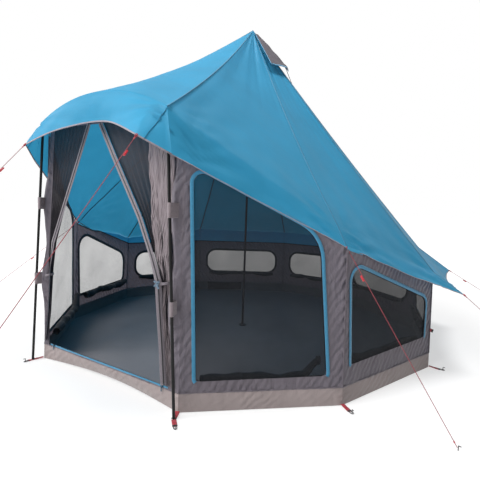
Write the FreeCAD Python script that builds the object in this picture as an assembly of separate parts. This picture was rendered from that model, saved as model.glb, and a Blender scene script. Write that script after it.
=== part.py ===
"""Ten-sided tipi tent with one centre pole, a standing-height door and an arched porch canopy.

Millimetres. +Z is up, the door faces -Y, and the origin is the middle of the groundsheet's underside.
The cloth is sewn from flat panels. Each panel is a thin closed solid, and so is each pole, strap and cord.
"""
import FreeCAD
import Part
import math
import os

Vec = FreeCAD.Vector

# ---- plan and heights -------------------------------------------------------------------------
# The floor's ten corners, from the right of the door round to its left.
CORNERS = ((730, -1825), (1520, -1090), (1860, 15), (1520, 1100), (510, 1850),
           (-510, 1850), (-1520, 1100), (-1860, 15), (-1520, -1000), (-730, -1825))
WALL_TOP = (1755, 1000, 760, 850, 850)      # the wall cloth's height at the first five, and mirrored
WALL_DIP = 88                               # the front walls' tops dip this far under the sagging fly
WALL_LEAN = 0.025                           # how far the walls lean in, per unit of height
TUB_HEIGHT = 125                            # the waterproof edge of the groundsheet
CLOTH = 2.0                                 # thickness given to every cloth panel
SEAM = 4.0                                  # a panel stops this far from its corner

APEX = Vec(0, 0, 3055)
# The fly near the wall line at each corner, and its guyed tip: the share of the corner's distance
# from the middle, and the height.
FLY_OVER = (None, (0.909, 1185), (0.9946, 800), (0.9957, 900), (0.9902, 900))
FLY_TIP = (None, (0.9747, 1048), (1.1182, 648), (1.1855, 660), (1.1465, 660))
RIDGE_SAG = (62, 70, 35, 35, 35)            # the ridges hang this far under a straight line
HEM_CURVE = (0, 40, 70, 70, 70)             # the hem between two tips is cut in by this much

# ---- porch ------------------------------------------------------------------------------------
POLE_RADIUS = 9.5
POLE_BORE = 8.3
UPRIGHT_FOOT = Vec(765, -1900, 0)
UPRIGHT_TOP = Vec(640, -1872, 1850)
ARCH_TOP = 2002
FLY_LIFT = 16                               # the fly lies this far over the arch pole's axis
CANOPY_TIP = Vec(574, -2048, 1680)
# The canopy's front hem on the right: beside the pole, at the tip, and on to the middle.
CANOPY_HEM = (Vec(708, -1902, 1583), CANOPY_TIP, Vec(362, -1996, 1757), Vec(180, -1934, 1803),
              Vec(0, -1906, 1820))
CANOPY_TOP_X = (636, 560, 400, 200, 0)      # where each of those hangs from the arch

# ---- centre pole ------------------------------------------------------------------------------
CENTRE_RADIUS = 11.0
CENTRE_BORE = 9.6
CENTRE_SPLIT = 1520
CENTRE_TOP = 3020

# ---- guy lines: name, tip, ground end, runner's distance from the tip --------------------------
GUY_RADIUS = 2.0
RUNNER_BORE = 2.06
GUYS = (
    ("front_right", CANOPY_TIP, Vec(730, -3520, 14), 120),
    ("front_left", Vec(-574, -2048, 1680), Vec(-730, -3520, 14), 230),
    ("right_front", Vec(1482, -1062, 1048), Vec(2218, -1191, 14), 200),
    ("left_front", Vec(-1482, -975, 1048), Vec(-2200, -2000, 14), 560),
    ("right_mid", Vec(2080, 17, 648), Vec(2720, 450, 14), 200),
    ("right_rear", Vec(1802, 1304, 660), Vec(2700, 2060, 14), 200),
)
PEG_RADIUS = 2.5
PEG_HEAD = 26                               # how far a driven peg stands out of the ground
STRAP_WIDTH = 20
STRAP_REACH = 112                           # from a floor corner to its peg

SIDE_NAMES = ("right_front", "right_mid", "right_rear", "rear_right", "rear",
              "rear_left", "left_rear", "left_mid", "left_front")


def mirrored(point):
    return Vec(-point.x, point.y, point.z)


def around(half):
    """The values of the right-hand half, and then the left-hand half in the same turning sense."""
    return list(half) + list(reversed(half))


PLAN = [Vec(x, y, 0) for x, y in CORNERS]
TOPS = around(WALL_TOP)


def side_axes(side):
    """Corner, direction along the side and outward normal of one side of the floor."""
    start, end = PLAN[side], PLAN[(side + 1) % 10]
    along = (end - start).normalize()
    return start, along, Vec(along.y, -along.x, 0)


def side_length(side):
    return (PLAN[(side + 1) % 10] - PLAN[side]).Length


def on_wall(side, u, z, inside=0.0):
    """The point on a leaning wall, u along its side and z up, moved in by `inside`."""
    start, along, outward = side_axes(side)
    return start + along * u - outward * (WALL_LEAN * z + inside) + Vec(0, 0, z)


def corner_shift(corner):
    """How far a leaning corner moves along its sides, per unit of height."""
    before, after = side_axes((corner - 1) % 10)[1], side_axes(corner)[1]
    return WALL_LEAN * math.tan(before.getAngle(after) / 2)


def wall_outline(side, low, high_start, high_end, seam=SEAM):
    """The four corners, in (u, z), of a wall panel whose top slopes from corner to corner."""
    length = side_length(side)
    first, second = corner_shift(side), corner_shift((side + 1) % 10)
    return [(seam + first * low, low), (length - seam - second * low, low),
            (length - seam - second * high_end, high_end), (seam + first * high_start, high_start)]


def polygon(points):
    return Part.makePolygon(list(points) + [points[0]])


def rounded_wire(points, radius):
    """A closed wire through the points, with each corner turned into a tangent arc."""
    edges, ends = [], []
    count = len(points)
    for i, point in enumerate(points):
        back = (points[i - 1] - point).normalize()
        ahead = (points[(i + 1) % count] - point).normalize()
        half = back.getAngle(ahead) / 2
        reach = radius / math.tan(half)
        middle = (back + ahead).normalize() * (radius / math.sin(half) - radius)
        ends.append((point + back * reach, point + middle, point + ahead * reach))
    for i, (start, middle, end) in enumerate(ends):
        edges.append(Part.Arc(start, middle, end).toShape())
        edges.append(Part.LineSegment(end, ends[(i + 1) % count][0]).toShape())
    return Part.Wire(edges)


def wall_plate(side, outline, inside=0.0, thickness=CLOTH, radius=None):
    """A flat plate in the plane of a wall, from an outline in (u, z)."""
    points = [on_wall(side, u, z, inside) for u, z in outline]
    wire = rounded_wire(points, radius) if radius else polygon(points)
    outward = side_axes(side)[2]
    inward = (Vec(0, 0, -WALL_LEAN) - outward).normalize()
    return Part.Face(wire).extrude(inward * thickness)


def tube(start, end, radius, bore=None):
    """A straight round bar or tube from one point to another."""
    length = (end - start).Length
    shape = Part.makeCylinder(radius, length, start, end - start)
    if bore:
        shape = shape.cut(Part.makeCylinder(bore, length, start, end - start))
    return shape


def sheet(rows, drop):
    """A closed solid between a grid of points and the same grid moved by `drop`."""
    below = [[p + drop for p in row] for row in rows]
    faces = []

    def triangle(a, b, c):
        if min(a.distanceToPoint(b), b.distanceToPoint(c), c.distanceToPoint(a)) > 0.001:
            faces.append(Part.Face(polygon([a, b, c])))

    def quad(a, b, c, d):
        triangle(a, b, c)
        triangle(a, c, d)

    for i in range(len(rows) - 1):
        for j in range(len(rows[0]) - 1):
            for grid in (rows, below):
                quad(grid[i][j], grid[i + 1][j], grid[i + 1][j + 1], grid[i][j + 1])
    for grid_row, low_row in ((rows[0], below[0]), (rows[-1], below[-1])):
        for j in range(len(grid_row) - 1):
            if grid_row[j].distanceToPoint(grid_row[j + 1]) > 0.001:
                quad(grid_row[j], grid_row[j + 1], low_row[j + 1], low_row[j])
    for i in range(len(rows) - 1):
        for j in (0, -1):
            quad(rows[i][j], rows[i + 1][j], below[i + 1][j], below[i][j])
    shell = Part.makeShell(faces)
    shell.sewShape()
    solid = Part.Solid(Part.Shell(shell.Faces))
    if solid.Volume < 0:
        solid.reverse()
    return solid


# ---- floor and walls --------------------------------------------------------------------------

def groundsheet():
    inset = CLOTH + 0.6
    points = []
    for corner in range(10):
        before, after = side_axes((corner - 1) % 10)[2], side_axes(corner)[2]
        bisector = (before + after).normalize()
        points.append(PLAN[corner] - bisector * (inset / bisector.dot(after)))
    return Part.Face(polygon(points)).extrude(Vec(0, 0, CLOTH))


def tub_wall():
    """The ten upstanding strips of the groundsheet's edge."""
    return Part.makeCompound([wall_plate(side, wall_outline(side, 0, TUB_HEIGHT, TUB_HEIGHT))
                              for side in range(10)])


def window_outline(side):
    """The window of a side in (u, z), and the radius of its corners."""
    length = side_length(side)
    name = SIDE_NAMES[side]
    outline, radius = [(125, 290), (length - 125, 290), (length - 125, 600), (125, 600)], 95
    if name.endswith("_front"):
        outline, radius = [(105, 195), (length - 118, 205), (length - 200, 1095), (62, 1535)], 40
    if name.endswith("_mid"):
        outline, radius = [(75, 260), (length - 110, 275), (length - 105, 600), (52, 890)], 45
    if name.startswith("left") and not name.endswith("_rear"):
        outline = [(length - u, z) for u, z in outline][::-1]
    return outline, radius


def wall_panel(side):
    """One wall with its window cut out."""
    panel = wall_outline(side, TUB_HEIGHT + 1, TOPS[side], TOPS[side + 1])
    if SIDE_NAMES[side].endswith("_front"):
        middle = ((panel[2][0] + panel[3][0]) / 2, (panel[2][1] + panel[3][1]) / 2 - WALL_DIP)
        panel.insert(3, middle)
    plate = wall_plate(side, panel)
    outline, radius = window_outline(side)
    return plate.cut(wall_plate(side, outline, -5, CLOTH + 10, radius))


def grown(outline, margin):
    """An outline pushed out from its middle, which the window mesh overlaps the wall by."""
    mid_u = sum(u for u, _ in outline) / len(outline)
    mid_z = sum(z for _, z in outline) / len(outline)
    return [(u + math.copysign(margin, u - mid_u), z + math.copysign(margin, z - mid_z))
            for u, z in outline]


def window_mesh(side):
    outline, radius = window_outline(side)
    return wall_plate(side, grown(outline, 12), CLOTH + 0.6, 1.2, radius)


def window_cover(side):
    """The rolled-down blind on the inside, under its window."""
    length = side_length(side)
    low = min(z for _, z in window_outline(side)[0]) - 36
    start, end = on_wall(side, 210, low, 42), on_wall(side, length - 210, low, 42)
    return tube(start, end, 30)


# ---- door -------------------------------------------------------------------------------------

DOOR = 9                                    # the side between the two front corners
DOOR_MIDDLE = side_length(DOOR) / 2
CURTAIN_LOW = TUB_HEIGHT + 28


def door_plate(outline_x, thickness=CLOTH, inside=0.0):
    """A plate in the door's plane, from an outline in (x, z)."""
    return wall_plate(DOOR, [(DOOR_MIDDLE + x, z) for x, z in outline_x], inside, thickness)


def door_posts():
    """The strips of wall cloth beside the door."""
    right = [(654, TUB_HEIGHT + 1), (724, TUB_HEIGHT + 1), (684, 1790), (634, 1790)]
    left = [(-x, z) for x, z in reversed(right)]
    return Part.makeCompound([door_plate(right), door_plate(left)])


def door_header():
    """The cloth over the door, up to the arch."""
    return door_plate([(-600, 1842), (600, 1842), (420, 1903), (0, 1964), (-420, 1903)])


def door_mesh_right():
    """The right half of the mesh door, drawn to its post."""
    return door_plate([(650, CURTAIN_LOW), (618, 1838), (-54, 1838), (230, 1455), (430, 1190),
                       (575, 830), (626, CURTAIN_LOW)])


def door_mesh_left():
    """The left half of the mesh door, drawn to its post."""
    return door_plate([(-650, CURTAIN_LOW), (-632, CURTAIN_LOW), (-612, 830), (-425, 1330),
                       (-66, 1838), (-618, 1838)])


ZIP_HALF = 640
ZIP_HIGH = TUB_HEIGHT + 20


def door_zip():
    """The zip along the top of the sill."""
    low = TUB_HEIGHT + 1
    return door_plate([(-ZIP_HALF, low), (ZIP_HALF, low), (ZIP_HALF, ZIP_HIGH), (-ZIP_HALF, ZIP_HIGH)])


def zip_slider(x):
    """A slider with its pull tab, running in front of the zip's teeth."""
    front = on_wall(DOOR, DOOR_MIDDLE + x, ZIP_HIGH).y
    body = Part.makeBox(22, 9, 14, Vec(x - 11, front - 9.6, ZIP_HIGH - 16))
    body = body.makeFillet(3, [e for e in body.Edges if abs(e.Vertexes[0].Y - e.Vertexes[1].Y) > 1])
    tab = Part.makeBox(8, 2, 34, Vec(x - 4, front - 11.6, ZIP_HIGH - 44))
    tab = tab.makeFillet(3, [e for e in tab.Edges if abs(e.Vertexes[0].Y - e.Vertexes[1].Y) > 1])
    return body.fuse(tab)


# ---- fly --------------------------------------------------------------------------------------

def ridge(corner):
    """The fly's ridge over a corner: apex, middle, near the wall line, and tip."""
    row = min(corner, 9 - corner)
    if row == 0:
        over, tip = UPRIGHT_TOP + Vec(8, -14, FLY_LIFT), CANOPY_HEM[0]
        if corner == 9:
            over, tip = mirrored(over), mirrored(tip)
    else:
        over, tip = [PLAN[corner] * share + Vec(0, 0, height)
                     for share, height in (FLY_OVER[row], FLY_TIP[row])]
    middle = (APEX + over) * 0.5 - Vec(0, 0, RIDGE_SAG[row])
    return [APEX, middle, over, tip]


RIDGES = [ridge(corner) for corner in range(10)]
HEM_CURVES = list(HEM_CURVE) + list(reversed(HEM_CURVE[:4]))


def fly_panel(side):
    """One gore of the fly, from the apex to its hem between two tips."""
    first, second = RIDGES[side], RIDGES[(side + 1) % 10]
    middle = [(a + b) * 0.5 for a, b in zip(first, second)]
    outward = side_axes(side)[2]
    middle[3] = middle[3] - outward * HEM_CURVES[side]
    return sheet([list(row) for row in zip(first, middle, second)], Vec(0, 0, -CLOTH))


def arch_height(x):
    """The height of the arch pole's axis at x."""
    rise = ARCH_TOP - UPRIGHT_TOP.z
    radius = (UPRIGHT_TOP.x ** 2 + rise ** 2) / (2 * rise)
    return ARCH_TOP - radius + math.sqrt(radius ** 2 - x ** 2)


def fly_panel_front():
    """The gore over the door, which ends on the arch pole."""
    xs = (480, 320, 160, 0, -160, -320, -480)
    arch = [Vec(x, UPRIGHT_TOP.y - 14, arch_height(x) + FLY_LIFT) for x in xs]
    arch = [RIDGES[0][2]] + arch + [RIDGES[9][2]]
    sag = Vec(0, 0, RIDGE_SAG[0])
    return sheet([[APEX] * len(arch), [(APEX + p) * 0.5 - sag for p in arch], arch],
                 Vec(0, 0, -CLOTH))


def canopy_visor():
    """The hanging front of the canopy, from the arch down to its arched hem and two guyed tips."""
    top = [Vec(x, UPRIGHT_TOP.y - 18, arch_height(x) + FLY_LIFT + 1) for x in CANOPY_TOP_X]
    hem = [CANOPY_HEM[0] + Vec(-6, -6, 0)] + list(CANOPY_HEM[1:])
    top += [mirrored(p) for p in reversed(top[:-1])]
    hem += [mirrored(p) for p in reversed(hem[:-1])]
    return sheet([top, hem], Vec(0, -1.6, 0.6))


# ---- vent -------------------------------------------------------------------------------------

VENT_PIVOT = Vec(50, 0, 3008)
VENT_OPEN = 4.0                             # degrees from lying on the fly to propped open
VENT_LIFT = Vec(0, 0, 17)                   # the closed hood lies this far over the fly
VENT_REACH = 0.41                           # how far down the upper half of the ridges it comes
STRUT_RADIUS = 2.5
STRUT_LENGTH = 164
STRUT_SLOPE = Vec(0.43, 0, -0.903)
HINGE_HALF = 16                             # half the length of the corded hem on the hood's hinge
HINGE_RADIUS = 4.0
PIN_HALF = 6
PIN_RADIUS = 3.2


def vent_point(share, reach):
    """A point of the closed hood: share is -1, 0 or 1 over the ridges beside and in its middle."""
    middle = RIDGES[2][1] - APEX
    beside = RIDGES[1 if share < 0 else 3][1] - APEX
    return APEX + (middle * (1 - abs(share)) + beside * abs(share)) * reach + VENT_LIFT


def opened(shape):
    return shape.rotate(VENT_PIVOT, Vec(0, 1, 0), -VENT_OPEN)


def vent_hood():
    """The hood over the vent, propped open, with the corded hem that it hinges on."""
    shares = (-0.94, -0.47, 0, 0.47, 0.94)
    rows = [[vent_point(s, reach) for s in shares] for reach in (0.06, VENT_REACH / 2, VENT_REACH)]
    half_pin = Vec(0, HINGE_HALF, 0)
    flap = opened(sheet(rows, Vec(0, 0, CLOTH)))
    return flap.fuse(tube(VENT_PIVOT - half_pin, VENT_PIVOT + half_pin, HINGE_RADIUS))


def vent_strut():
    """The stick that holds the hood's lip off the fly, with the cross pin that it swings on."""
    lip = opened(Part.Vertex(vent_point(0, VENT_REACH - 0.012) + Vec(0, 0, -8))).Point
    half_pin = Vec(0, PIN_HALF, 0)
    pin = tube(lip - half_pin, lip + half_pin, PIN_RADIUS)
    return tube(lip, lip + STRUT_SLOPE * STRUT_LENGTH, STRUT_RADIUS).fuse(pin)


# ---- poles ------------------------------------------------------------------------------------

def centre_pole_foot():
    """The flat foot that stands on the groundsheet, with a spigot for the pole."""
    flange = Part.makeCylinder(40, 6, Vec(0, 0, CLOTH))
    return flange.fuse(Part.makeCylinder(CENTRE_BORE - 0.4, 60, Vec(0, 0, CLOTH)))


def centre_pole_lower():
    low = Vec(0, 0, CLOTH + 6.1)
    return tube(low, Vec(0, 0, CENTRE_SPLIT), CENTRE_RADIUS, CENTRE_BORE)


def centre_pole_upper():
    """The upper section, with the spigot that goes into the lower one and a rounded cap."""
    low, high = Vec(0, 0, CENTRE_SPLIT + 0.1), Vec(0, 0, CENTRE_TOP - CENTRE_RADIUS)
    section = tube(low, high, CENTRE_RADIUS, CENTRE_BORE)
    spigot = tube(Vec(0, 0, CENTRE_SPLIT - 120), Vec(0, 0, CENTRE_SPLIT + 90), CENTRE_BORE - 0.3)
    plug = tube(Vec(0, 0, CENTRE_SPLIT + 60), Vec(0, 0, CENTRE_SPLIT + 90), CENTRE_BORE)
    cap = Part.makeSphere(CENTRE_RADIUS, high)
    return section.fuse([spigot, plug, cap])


def upright_point(z):
    """The axis of the right-hand upright at a height."""
    share = z / UPRIGHT_TOP.z
    return UPRIGHT_FOOT + (UPRIGHT_TOP - UPRIGHT_FOOT) * share


UPRIGHT_SPLIT = 935
UPRIGHT_END = UPRIGHT_TOP.z - 28


def upright_lower():
    """The lower section: a tube, a foot plug and the pin that goes through the strap's eyelet."""
    section = tube(upright_point(10), upright_point(UPRIGHT_SPLIT), POLE_RADIUS, POLE_BORE)
    plug = tube(upright_point(4), upright_point(30), POLE_BORE + 0.2)
    pin = Part.makeCylinder(3, 12, Vec(UPRIGHT_FOOT.x, UPRIGHT_FOOT.y, 0.4))
    return section.fuse([plug, pin])


def upright_upper():
    """The upper section, with the swaged spigot that goes into the lower one."""
    low = UPRIGHT_SPLIT + 0.2
    section = tube(upright_point(low), upright_point(UPRIGHT_END), POLE_RADIUS, POLE_BORE)
    spigot = tube(upright_point(UPRIGHT_SPLIT - 70), upright_point(UPRIGHT_SPLIT + 40), POLE_BORE - 0.3)
    plug = tube(upright_point(UPRIGHT_SPLIT + 20), upright_point(UPRIGHT_SPLIT + 40), POLE_BORE)
    return section.fuse([spigot, plug])


def arch_pole():
    """The bent pole over the door, with an elbow and a spigot at each end."""
    right, left = UPRIGHT_TOP, mirrored(UPRIGHT_TOP)
    middle = Vec(0, UPRIGHT_TOP.y, ARCH_TOP)
    path = Part.Wire([Part.Arc(right, middle, left).toShape()])
    rise = ARCH_TOP - UPRIGHT_TOP.z
    drop = math.sqrt(1 - (UPRIGHT_TOP.x / ((UPRIGHT_TOP.x ** 2 + rise ** 2) / (2 * rise))) ** 2)
    tangent = Vec(-drop, 0, math.sqrt(1 - drop ** 2))
    ring = Part.Wire([Part.makeCircle(POLE_RADIUS, right, tangent)])
    pole = path.makePipeShell([ring], True, False)
    ends = []
    for turn in (lambda p: p, mirrored):
        top, collar = turn(UPRIGHT_TOP), turn(upright_point(UPRIGHT_END + 0.2))
        ends += [Part.makeSphere(POLE_RADIUS + 0.5, top), tube(collar, top, POLE_RADIUS),
                 tube(turn(upright_point(UPRIGHT_END - 60)), top, POLE_BORE - 0.3)]
    return pole.fuse(ends)


def mirror_shape(shape):
    return shape.mirror(Vec(0, 0, 0), Vec(1, 0, 0))


# ---- straps, pegs and guy lines ---------------------------------------------------------------

def floor_pegs():
    """Where each floor corner is pegged, with the upright's eyelet on the way at the front."""
    places = []
    for corner in range(10):
        ray = Vec(PLAN[corner].x, PLAN[corner].y, 0).normalize()
        places.append(PLAN[corner] + ray * STRAP_REACH)
    places[0] = Vec(843, -1972, 0)
    places[9] = Vec(-762, -1962, 0)
    return places


def flat_strap(start, end, holes):
    """A webbing strap on the ground, with a round eye at each of the given points."""
    along = (end - start).normalize()
    across = Vec(-along.y, along.x, 0) * (STRAP_WIDTH / 2)
    stop = end + along * 9
    strap = Part.Face(polygon([start - across, stop - across, stop + across, start + across]))
    strap = strap.extrude(Vec(0, 0, 1.6))
    for hole in holes:
        strap = strap.cut(Part.makeCylinder(4, 10, Vec(hole.x, hole.y, -2)))
    return strap


def peg_straps():
    """The webbing straps at the ten floor corners."""
    straps = []
    pegs = floor_pegs()
    for corner in range(1, 9):
        ray = Vec(PLAN[corner].x, PLAN[corner].y, 0).normalize()
        straps.append(flat_strap(PLAN[corner] + ray * 2, pegs[corner], [pegs[corner]]))
    for corner in (0, 9):
        foot = UPRIGHT_FOOT if corner == 0 else mirrored(UPRIGHT_FOOT)
        ray = (foot - PLAN[corner]).normalize()
        near = flat_strap(PLAN[corner] + ray * 3, foot, [foot])
        far = flat_strap(foot, pegs[corner], [foot, pegs[corner]])
        straps.append(near.fuse(far))
    return Part.makeCompound(straps)


def peg(place, towards):
    """The head of a driven peg: a bent steel rod whose hook points back at what it holds."""
    along = Vec(towards.x - place.x, towards.y - place.y, 0).normalize()
    low = Vec(place.x, place.y, 0)
    top = low + Vec(0, 0, PEG_HEAD)
    hook = tube(top, top - along * 15, PEG_RADIUS)
    return tube(low, top, PEG_RADIUS).fuse([Part.makeSphere(PEG_RADIUS, top), hook])


def pegs():
    """All pegs, at the floor corners and at the ends of the guy lines."""
    shapes = [peg(place, Vec(0, 0, 0)) for place in floor_pegs()]
    shapes += [peg(end + (end - tip).normalize() * 9, tip) for _, tip, end, _ in GUYS]
    return Part.makeCompound(shapes)


def guy_line(tip, end):
    """A taut line from just off the fly's tip to just short of its peg."""
    along = (end - tip).normalize()
    return tube(tip + along * 10, end, GUY_RADIUS)


def guy_runner(tip, end, distance):
    """A tensioner bar with the line through its bore."""
    along = (end - tip).normalize()
    side = along.cross(Vec(0, 0, 1)).normalize()
    face = side.cross(along)
    low = tip + along * distance - side * 7 - face * 4
    bar = Part.makeBox(40, 14, 8)
    bar = bar.makeFillet(3, [e for e in bar.Edges if abs(e.Vertexes[0].Z - e.Vertexes[1].Z) > 1])
    turn = FreeCAD.Rotation(along, side, face, "XYZ")
    bar.Placement = FreeCAD.Placement(low, turn)
    return bar.cut(tube(tip, end, RUNNER_BORE))


def pole_tabs():
    """The webbing tabs that hold the wall to the uprights, two on each side."""
    tabs = []
    for z in (640, 1230):
        pole = upright_point(z)
        corner = on_wall(DOOR, 2 * DOOR_MIDDLE - 12, z)
        reach = pole - corner
        reach.z = 0
        along = Vec(reach).normalize()
        across = Vec(-along.y, along.x, 0) * 1.0
        start, stop = corner + along * 6, corner + along * (reach.Length - POLE_RADIUS - 1)
        tab = Part.Face(polygon([start - across, stop - across, stop + across, start + across]))
        tab = tab.extrude(Vec(0, 0, 60))
        tabs += [tab, mirror_shape(tab)]
    return Part.makeCompound(tabs)


def model():
    """Every node's name and shape."""
    nodes = {"groundsheet": groundsheet(), "tub_wall": tub_wall(), "door_posts": door_posts(),
             "door_header": door_header(), "door_mesh_left": door_mesh_left(),
             "door_mesh_right": door_mesh_right(), "door_zip": door_zip(),
             "zip_slider_left": zip_slider(-590), "zip_slider_right": zip_slider(590)}
    for side, name in enumerate(SIDE_NAMES):
        nodes["wall_" + name] = wall_panel(side)
        nodes["fly_panel_" + name] = fly_panel(side)
        if name.endswith("_front") or name.endswith("_mid"):
            nodes["window_mesh_" + name] = window_mesh(side)
    nodes["window_mesh_rear"] = Part.makeCompound([window_mesh(side) for side in range(2, 7)])
    nodes["window_covers"] = Part.makeCompound([window_cover(side) for side in range(9)])
    nodes["fly_panel_front"] = fly_panel_front()
    nodes["canopy_visor"] = canopy_visor()
    nodes["vent_hood"] = vent_hood()
    nodes["vent_strut"] = vent_strut()
    nodes["centre_pole_foot"] = centre_pole_foot()
    nodes["centre_pole_lower"] = centre_pole_lower()
    nodes["centre_pole_upper"] = centre_pole_upper()
    nodes["upright_right_lower"] = upright_lower()
    nodes["upright_right_upper"] = upright_upper()
    nodes["upright_left_lower"] = mirror_shape(upright_lower())
    nodes["upright_left_upper"] = mirror_shape(upright_upper())
    nodes["arch_pole"] = arch_pole()
    nodes["peg_straps"] = peg_straps()
    nodes["pegs"] = pegs()
    nodes["pole_tabs"] = pole_tabs()
    for name, tip, end, distance in GUYS:
        nodes["guy_" + name] = guy_line(tip, end)
        nodes["runner_" + name] = guy_runner(tip, end, distance)
    return nodes


os.makedirs("parts", exist_ok=True)
for node, shape in model().items():
    shape.exportStep("parts/" + node + ".step")
    print(node, len(shape.Solids), round(shape.Volume), shape.isValid())
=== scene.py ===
"""The looks of a ten-sided tipi tent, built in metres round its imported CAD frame.

+Z is up, the door faces -Y, and the origin is the middle of the groundsheet's underside.
"""

import math
import random

import bpy
from mathutils import Matrix, Vector, noise
from mathutils.bvhtree import BVHTree


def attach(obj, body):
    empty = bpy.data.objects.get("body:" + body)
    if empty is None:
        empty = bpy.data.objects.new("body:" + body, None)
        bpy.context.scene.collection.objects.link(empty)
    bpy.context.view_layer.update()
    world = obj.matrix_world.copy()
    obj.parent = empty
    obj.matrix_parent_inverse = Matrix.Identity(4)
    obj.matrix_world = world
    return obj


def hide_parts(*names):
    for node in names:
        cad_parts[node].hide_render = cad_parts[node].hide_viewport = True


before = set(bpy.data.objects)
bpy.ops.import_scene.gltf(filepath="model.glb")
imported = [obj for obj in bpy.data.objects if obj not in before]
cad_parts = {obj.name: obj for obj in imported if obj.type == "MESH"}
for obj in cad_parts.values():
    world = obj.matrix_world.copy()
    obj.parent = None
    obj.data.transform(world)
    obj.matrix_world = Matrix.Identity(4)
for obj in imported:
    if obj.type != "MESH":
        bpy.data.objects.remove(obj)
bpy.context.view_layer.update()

# ---- driving values, the same as the CAD source's, in metres -----------------------------------
CORNERS = ((0.730, -1.825), (1.520, -1.090), (1.860, 0.015), (1.520, 1.100), (0.510, 1.850),
           (-0.510, 1.850), (-1.520, 1.100), (-1.860, 0.015), (-1.520, -1.000), (-0.730, -1.825))
WALL_LEAN = 0.025
TUB_HEIGHT = 0.125
APEX = Vector((0, 0, 3.055))
FLY_OVER = (None, (0.909, 1.185), (0.9946, 0.800), (0.9957, 0.900), (0.9902, 0.900))
FLY_TIP = (None, (0.9747, 1.048), (1.1182, 0.648), (1.1855, 0.660), (1.1465, 0.660))
RIDGE_SAG = (0.062, 0.070, 0.035, 0.035, 0.035)
HEM_CURVE = (0.0, 0.040, 0.070, 0.070, 0.070)
UPRIGHT_FOOT = Vector((0.765, -1.900, 0))
UPRIGHT_TOP = Vector((0.640, -1.872, 1.850))
ARCH_TOP = 2.002
FLY_LIFT = 0.016
CANOPY_TIP = Vector((0.574, -2.048, 1.680))
CANOPY_HEM = (Vector((0.708, -1.902, 1.583)), CANOPY_TIP, Vector((0.362, -1.996, 1.757)),
              Vector((0.180, -1.934, 1.803)), Vector((0, -1.906, 1.820)))
CANOPY_TOP_X = (0.636, 0.560, 0.400, 0.200, 0.0)
GUY_RADIUS = 0.002
GUYS = (
    ("front_right", CANOPY_TIP, Vector((0.730, -3.520, 0.014))),
    ("front_left", Vector((-0.574, -2.048, 1.680)), Vector((-0.730, -3.520, 0.014))),
    ("right_front", Vector((1.482, -1.062, 1.048)), Vector((2.218, -1.191, 0.014))),
    ("left_front", Vector((-1.482, -0.975, 1.048)), Vector((-2.200, -2.000, 0.014))),
    ("right_mid", Vector((2.080, 0.017, 0.648)), Vector((2.720, 0.450, 0.014))),
    ("right_rear", Vector((1.802, 1.304, 0.660)), Vector((2.700, 2.060, 0.014))),
)
SIDE_NAMES = ("right_front", "right_mid", "right_rear", "rear_right", "rear",
              "rear_left", "left_rear", "left_mid", "left_front")
STRAP_REACH = 0.112
VENT_PIVOT = Vector((0.050, 0, 3.008))
VENT_OPEN = math.radians(4.0)
VENT_LIFT = Vector((0, 0, 0.017))
VENT_REACH = 0.41

# ---- values of the looks alone -----------------------------------------------------------------
SEAM_TOP = (1.900, 1.060, 0.735, 0.735, 0.735)  # the grey walls end here, or under the fly
GORE_ROWS, GORE_COLUMNS, SKIRT_ROWS = 84, 34, 12
DOOR = 9
TALL_WINDOWS, LOW_WINDOWS = (0, 1, 7, 8), (2, 3, 4, 5, 6)  # the sides that have them
UP = Vector((0, 0, 1))


def mirrored(point):
    """The point on the other side of the tent's middle plane."""
    return Vector((-point.x, point.y, point.z))


def around(half):
    """Values for all ten corners, from those of one half."""
    return list(half) + list(reversed(half))


def shares(count):
    """The numbers from 0 to 1 in equal steps."""
    return [k / count for k in range(count + 1)]


def circle(count):
    """The angles of a closed circle in equal steps."""
    return [2 * math.pi * k / count for k in range(count + 1)]


def patch(rows, columns, point_and_place):
    """Two grids, of points and of texture places, from a function that gives both."""
    made = [[point_and_place(row, column) for column in columns] for row in rows]
    points = [[point for point, _ in row] for row in made]
    return points, [[place for _, place in row] for row in made]


PLAN = [Vector((x, y, 0)) for x, y in CORNERS]
SEAM_TOPS = around(SEAM_TOP)


def side_axes(side):
    """Corner, direction along the side and outward normal of one side of the floor."""
    start, end = PLAN[side], PLAN[(side + 1) % 10]
    along = (end - start).normalized()
    return start, along, Vector((along.y, -along.x, 0))


def side_length(side):
    """The length of one side of the floor."""
    return (PLAN[(side + 1) % 10] - PLAN[side]).length


def on_wall(side, u, z, out=0.0):
    """The point on a leaning wall, u along its side and z up, moved out by `out`."""
    start, along, outward = side_axes(side)
    return start + along * u + outward * (out - WALL_LEAN * z) + Vector((0, 0, z))


def on_door(x, z, out):
    """The point on the door's side, x to the right of its middle and z up."""
    return on_wall(DOOR, side_length(DOOR) / 2 + x, z, out)


def smooth(value):
    """Goes from 0 to 1 without a kink as the value does, and stays there outside."""
    value = min(1.0, max(0.0, value))
    return value * value * (3 - 2 * value)


def between(pairs, key):
    """Smooth interpolation in a list of (key, values), whose keys rise or fall."""
    if pairs[0][0] > pairs[-1][0]:
        pairs = pairs[::-1]
    if key <= pairs[0][0]:
        return pairs[0][1]
    for (low, first), (high, second) in zip(pairs, pairs[1:]):
        if key <= high:
            share = (key - low) / (high - low)
            return tuple(a + (b - a) * share for a, b in zip(first, second))
    return pairs[-1][1]


def placed(name, data):
    """A new object in the scene."""
    made = bpy.data.objects.new(name, data)
    bpy.context.scene.collection.objects.link(made)
    return made


# ---- camera and lights -------------------------------------------------------------------------
CAMERA_PLACE = Vector((2.4152, -3.7171, 1.3250))
CAMERA_AZIMUTH = math.radians(33.751)
CAMERA_PITCH = math.radians(5.222)
CAMERA_ROLL = math.radians(1.989)
CAMERA_LENS = 31.5


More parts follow.
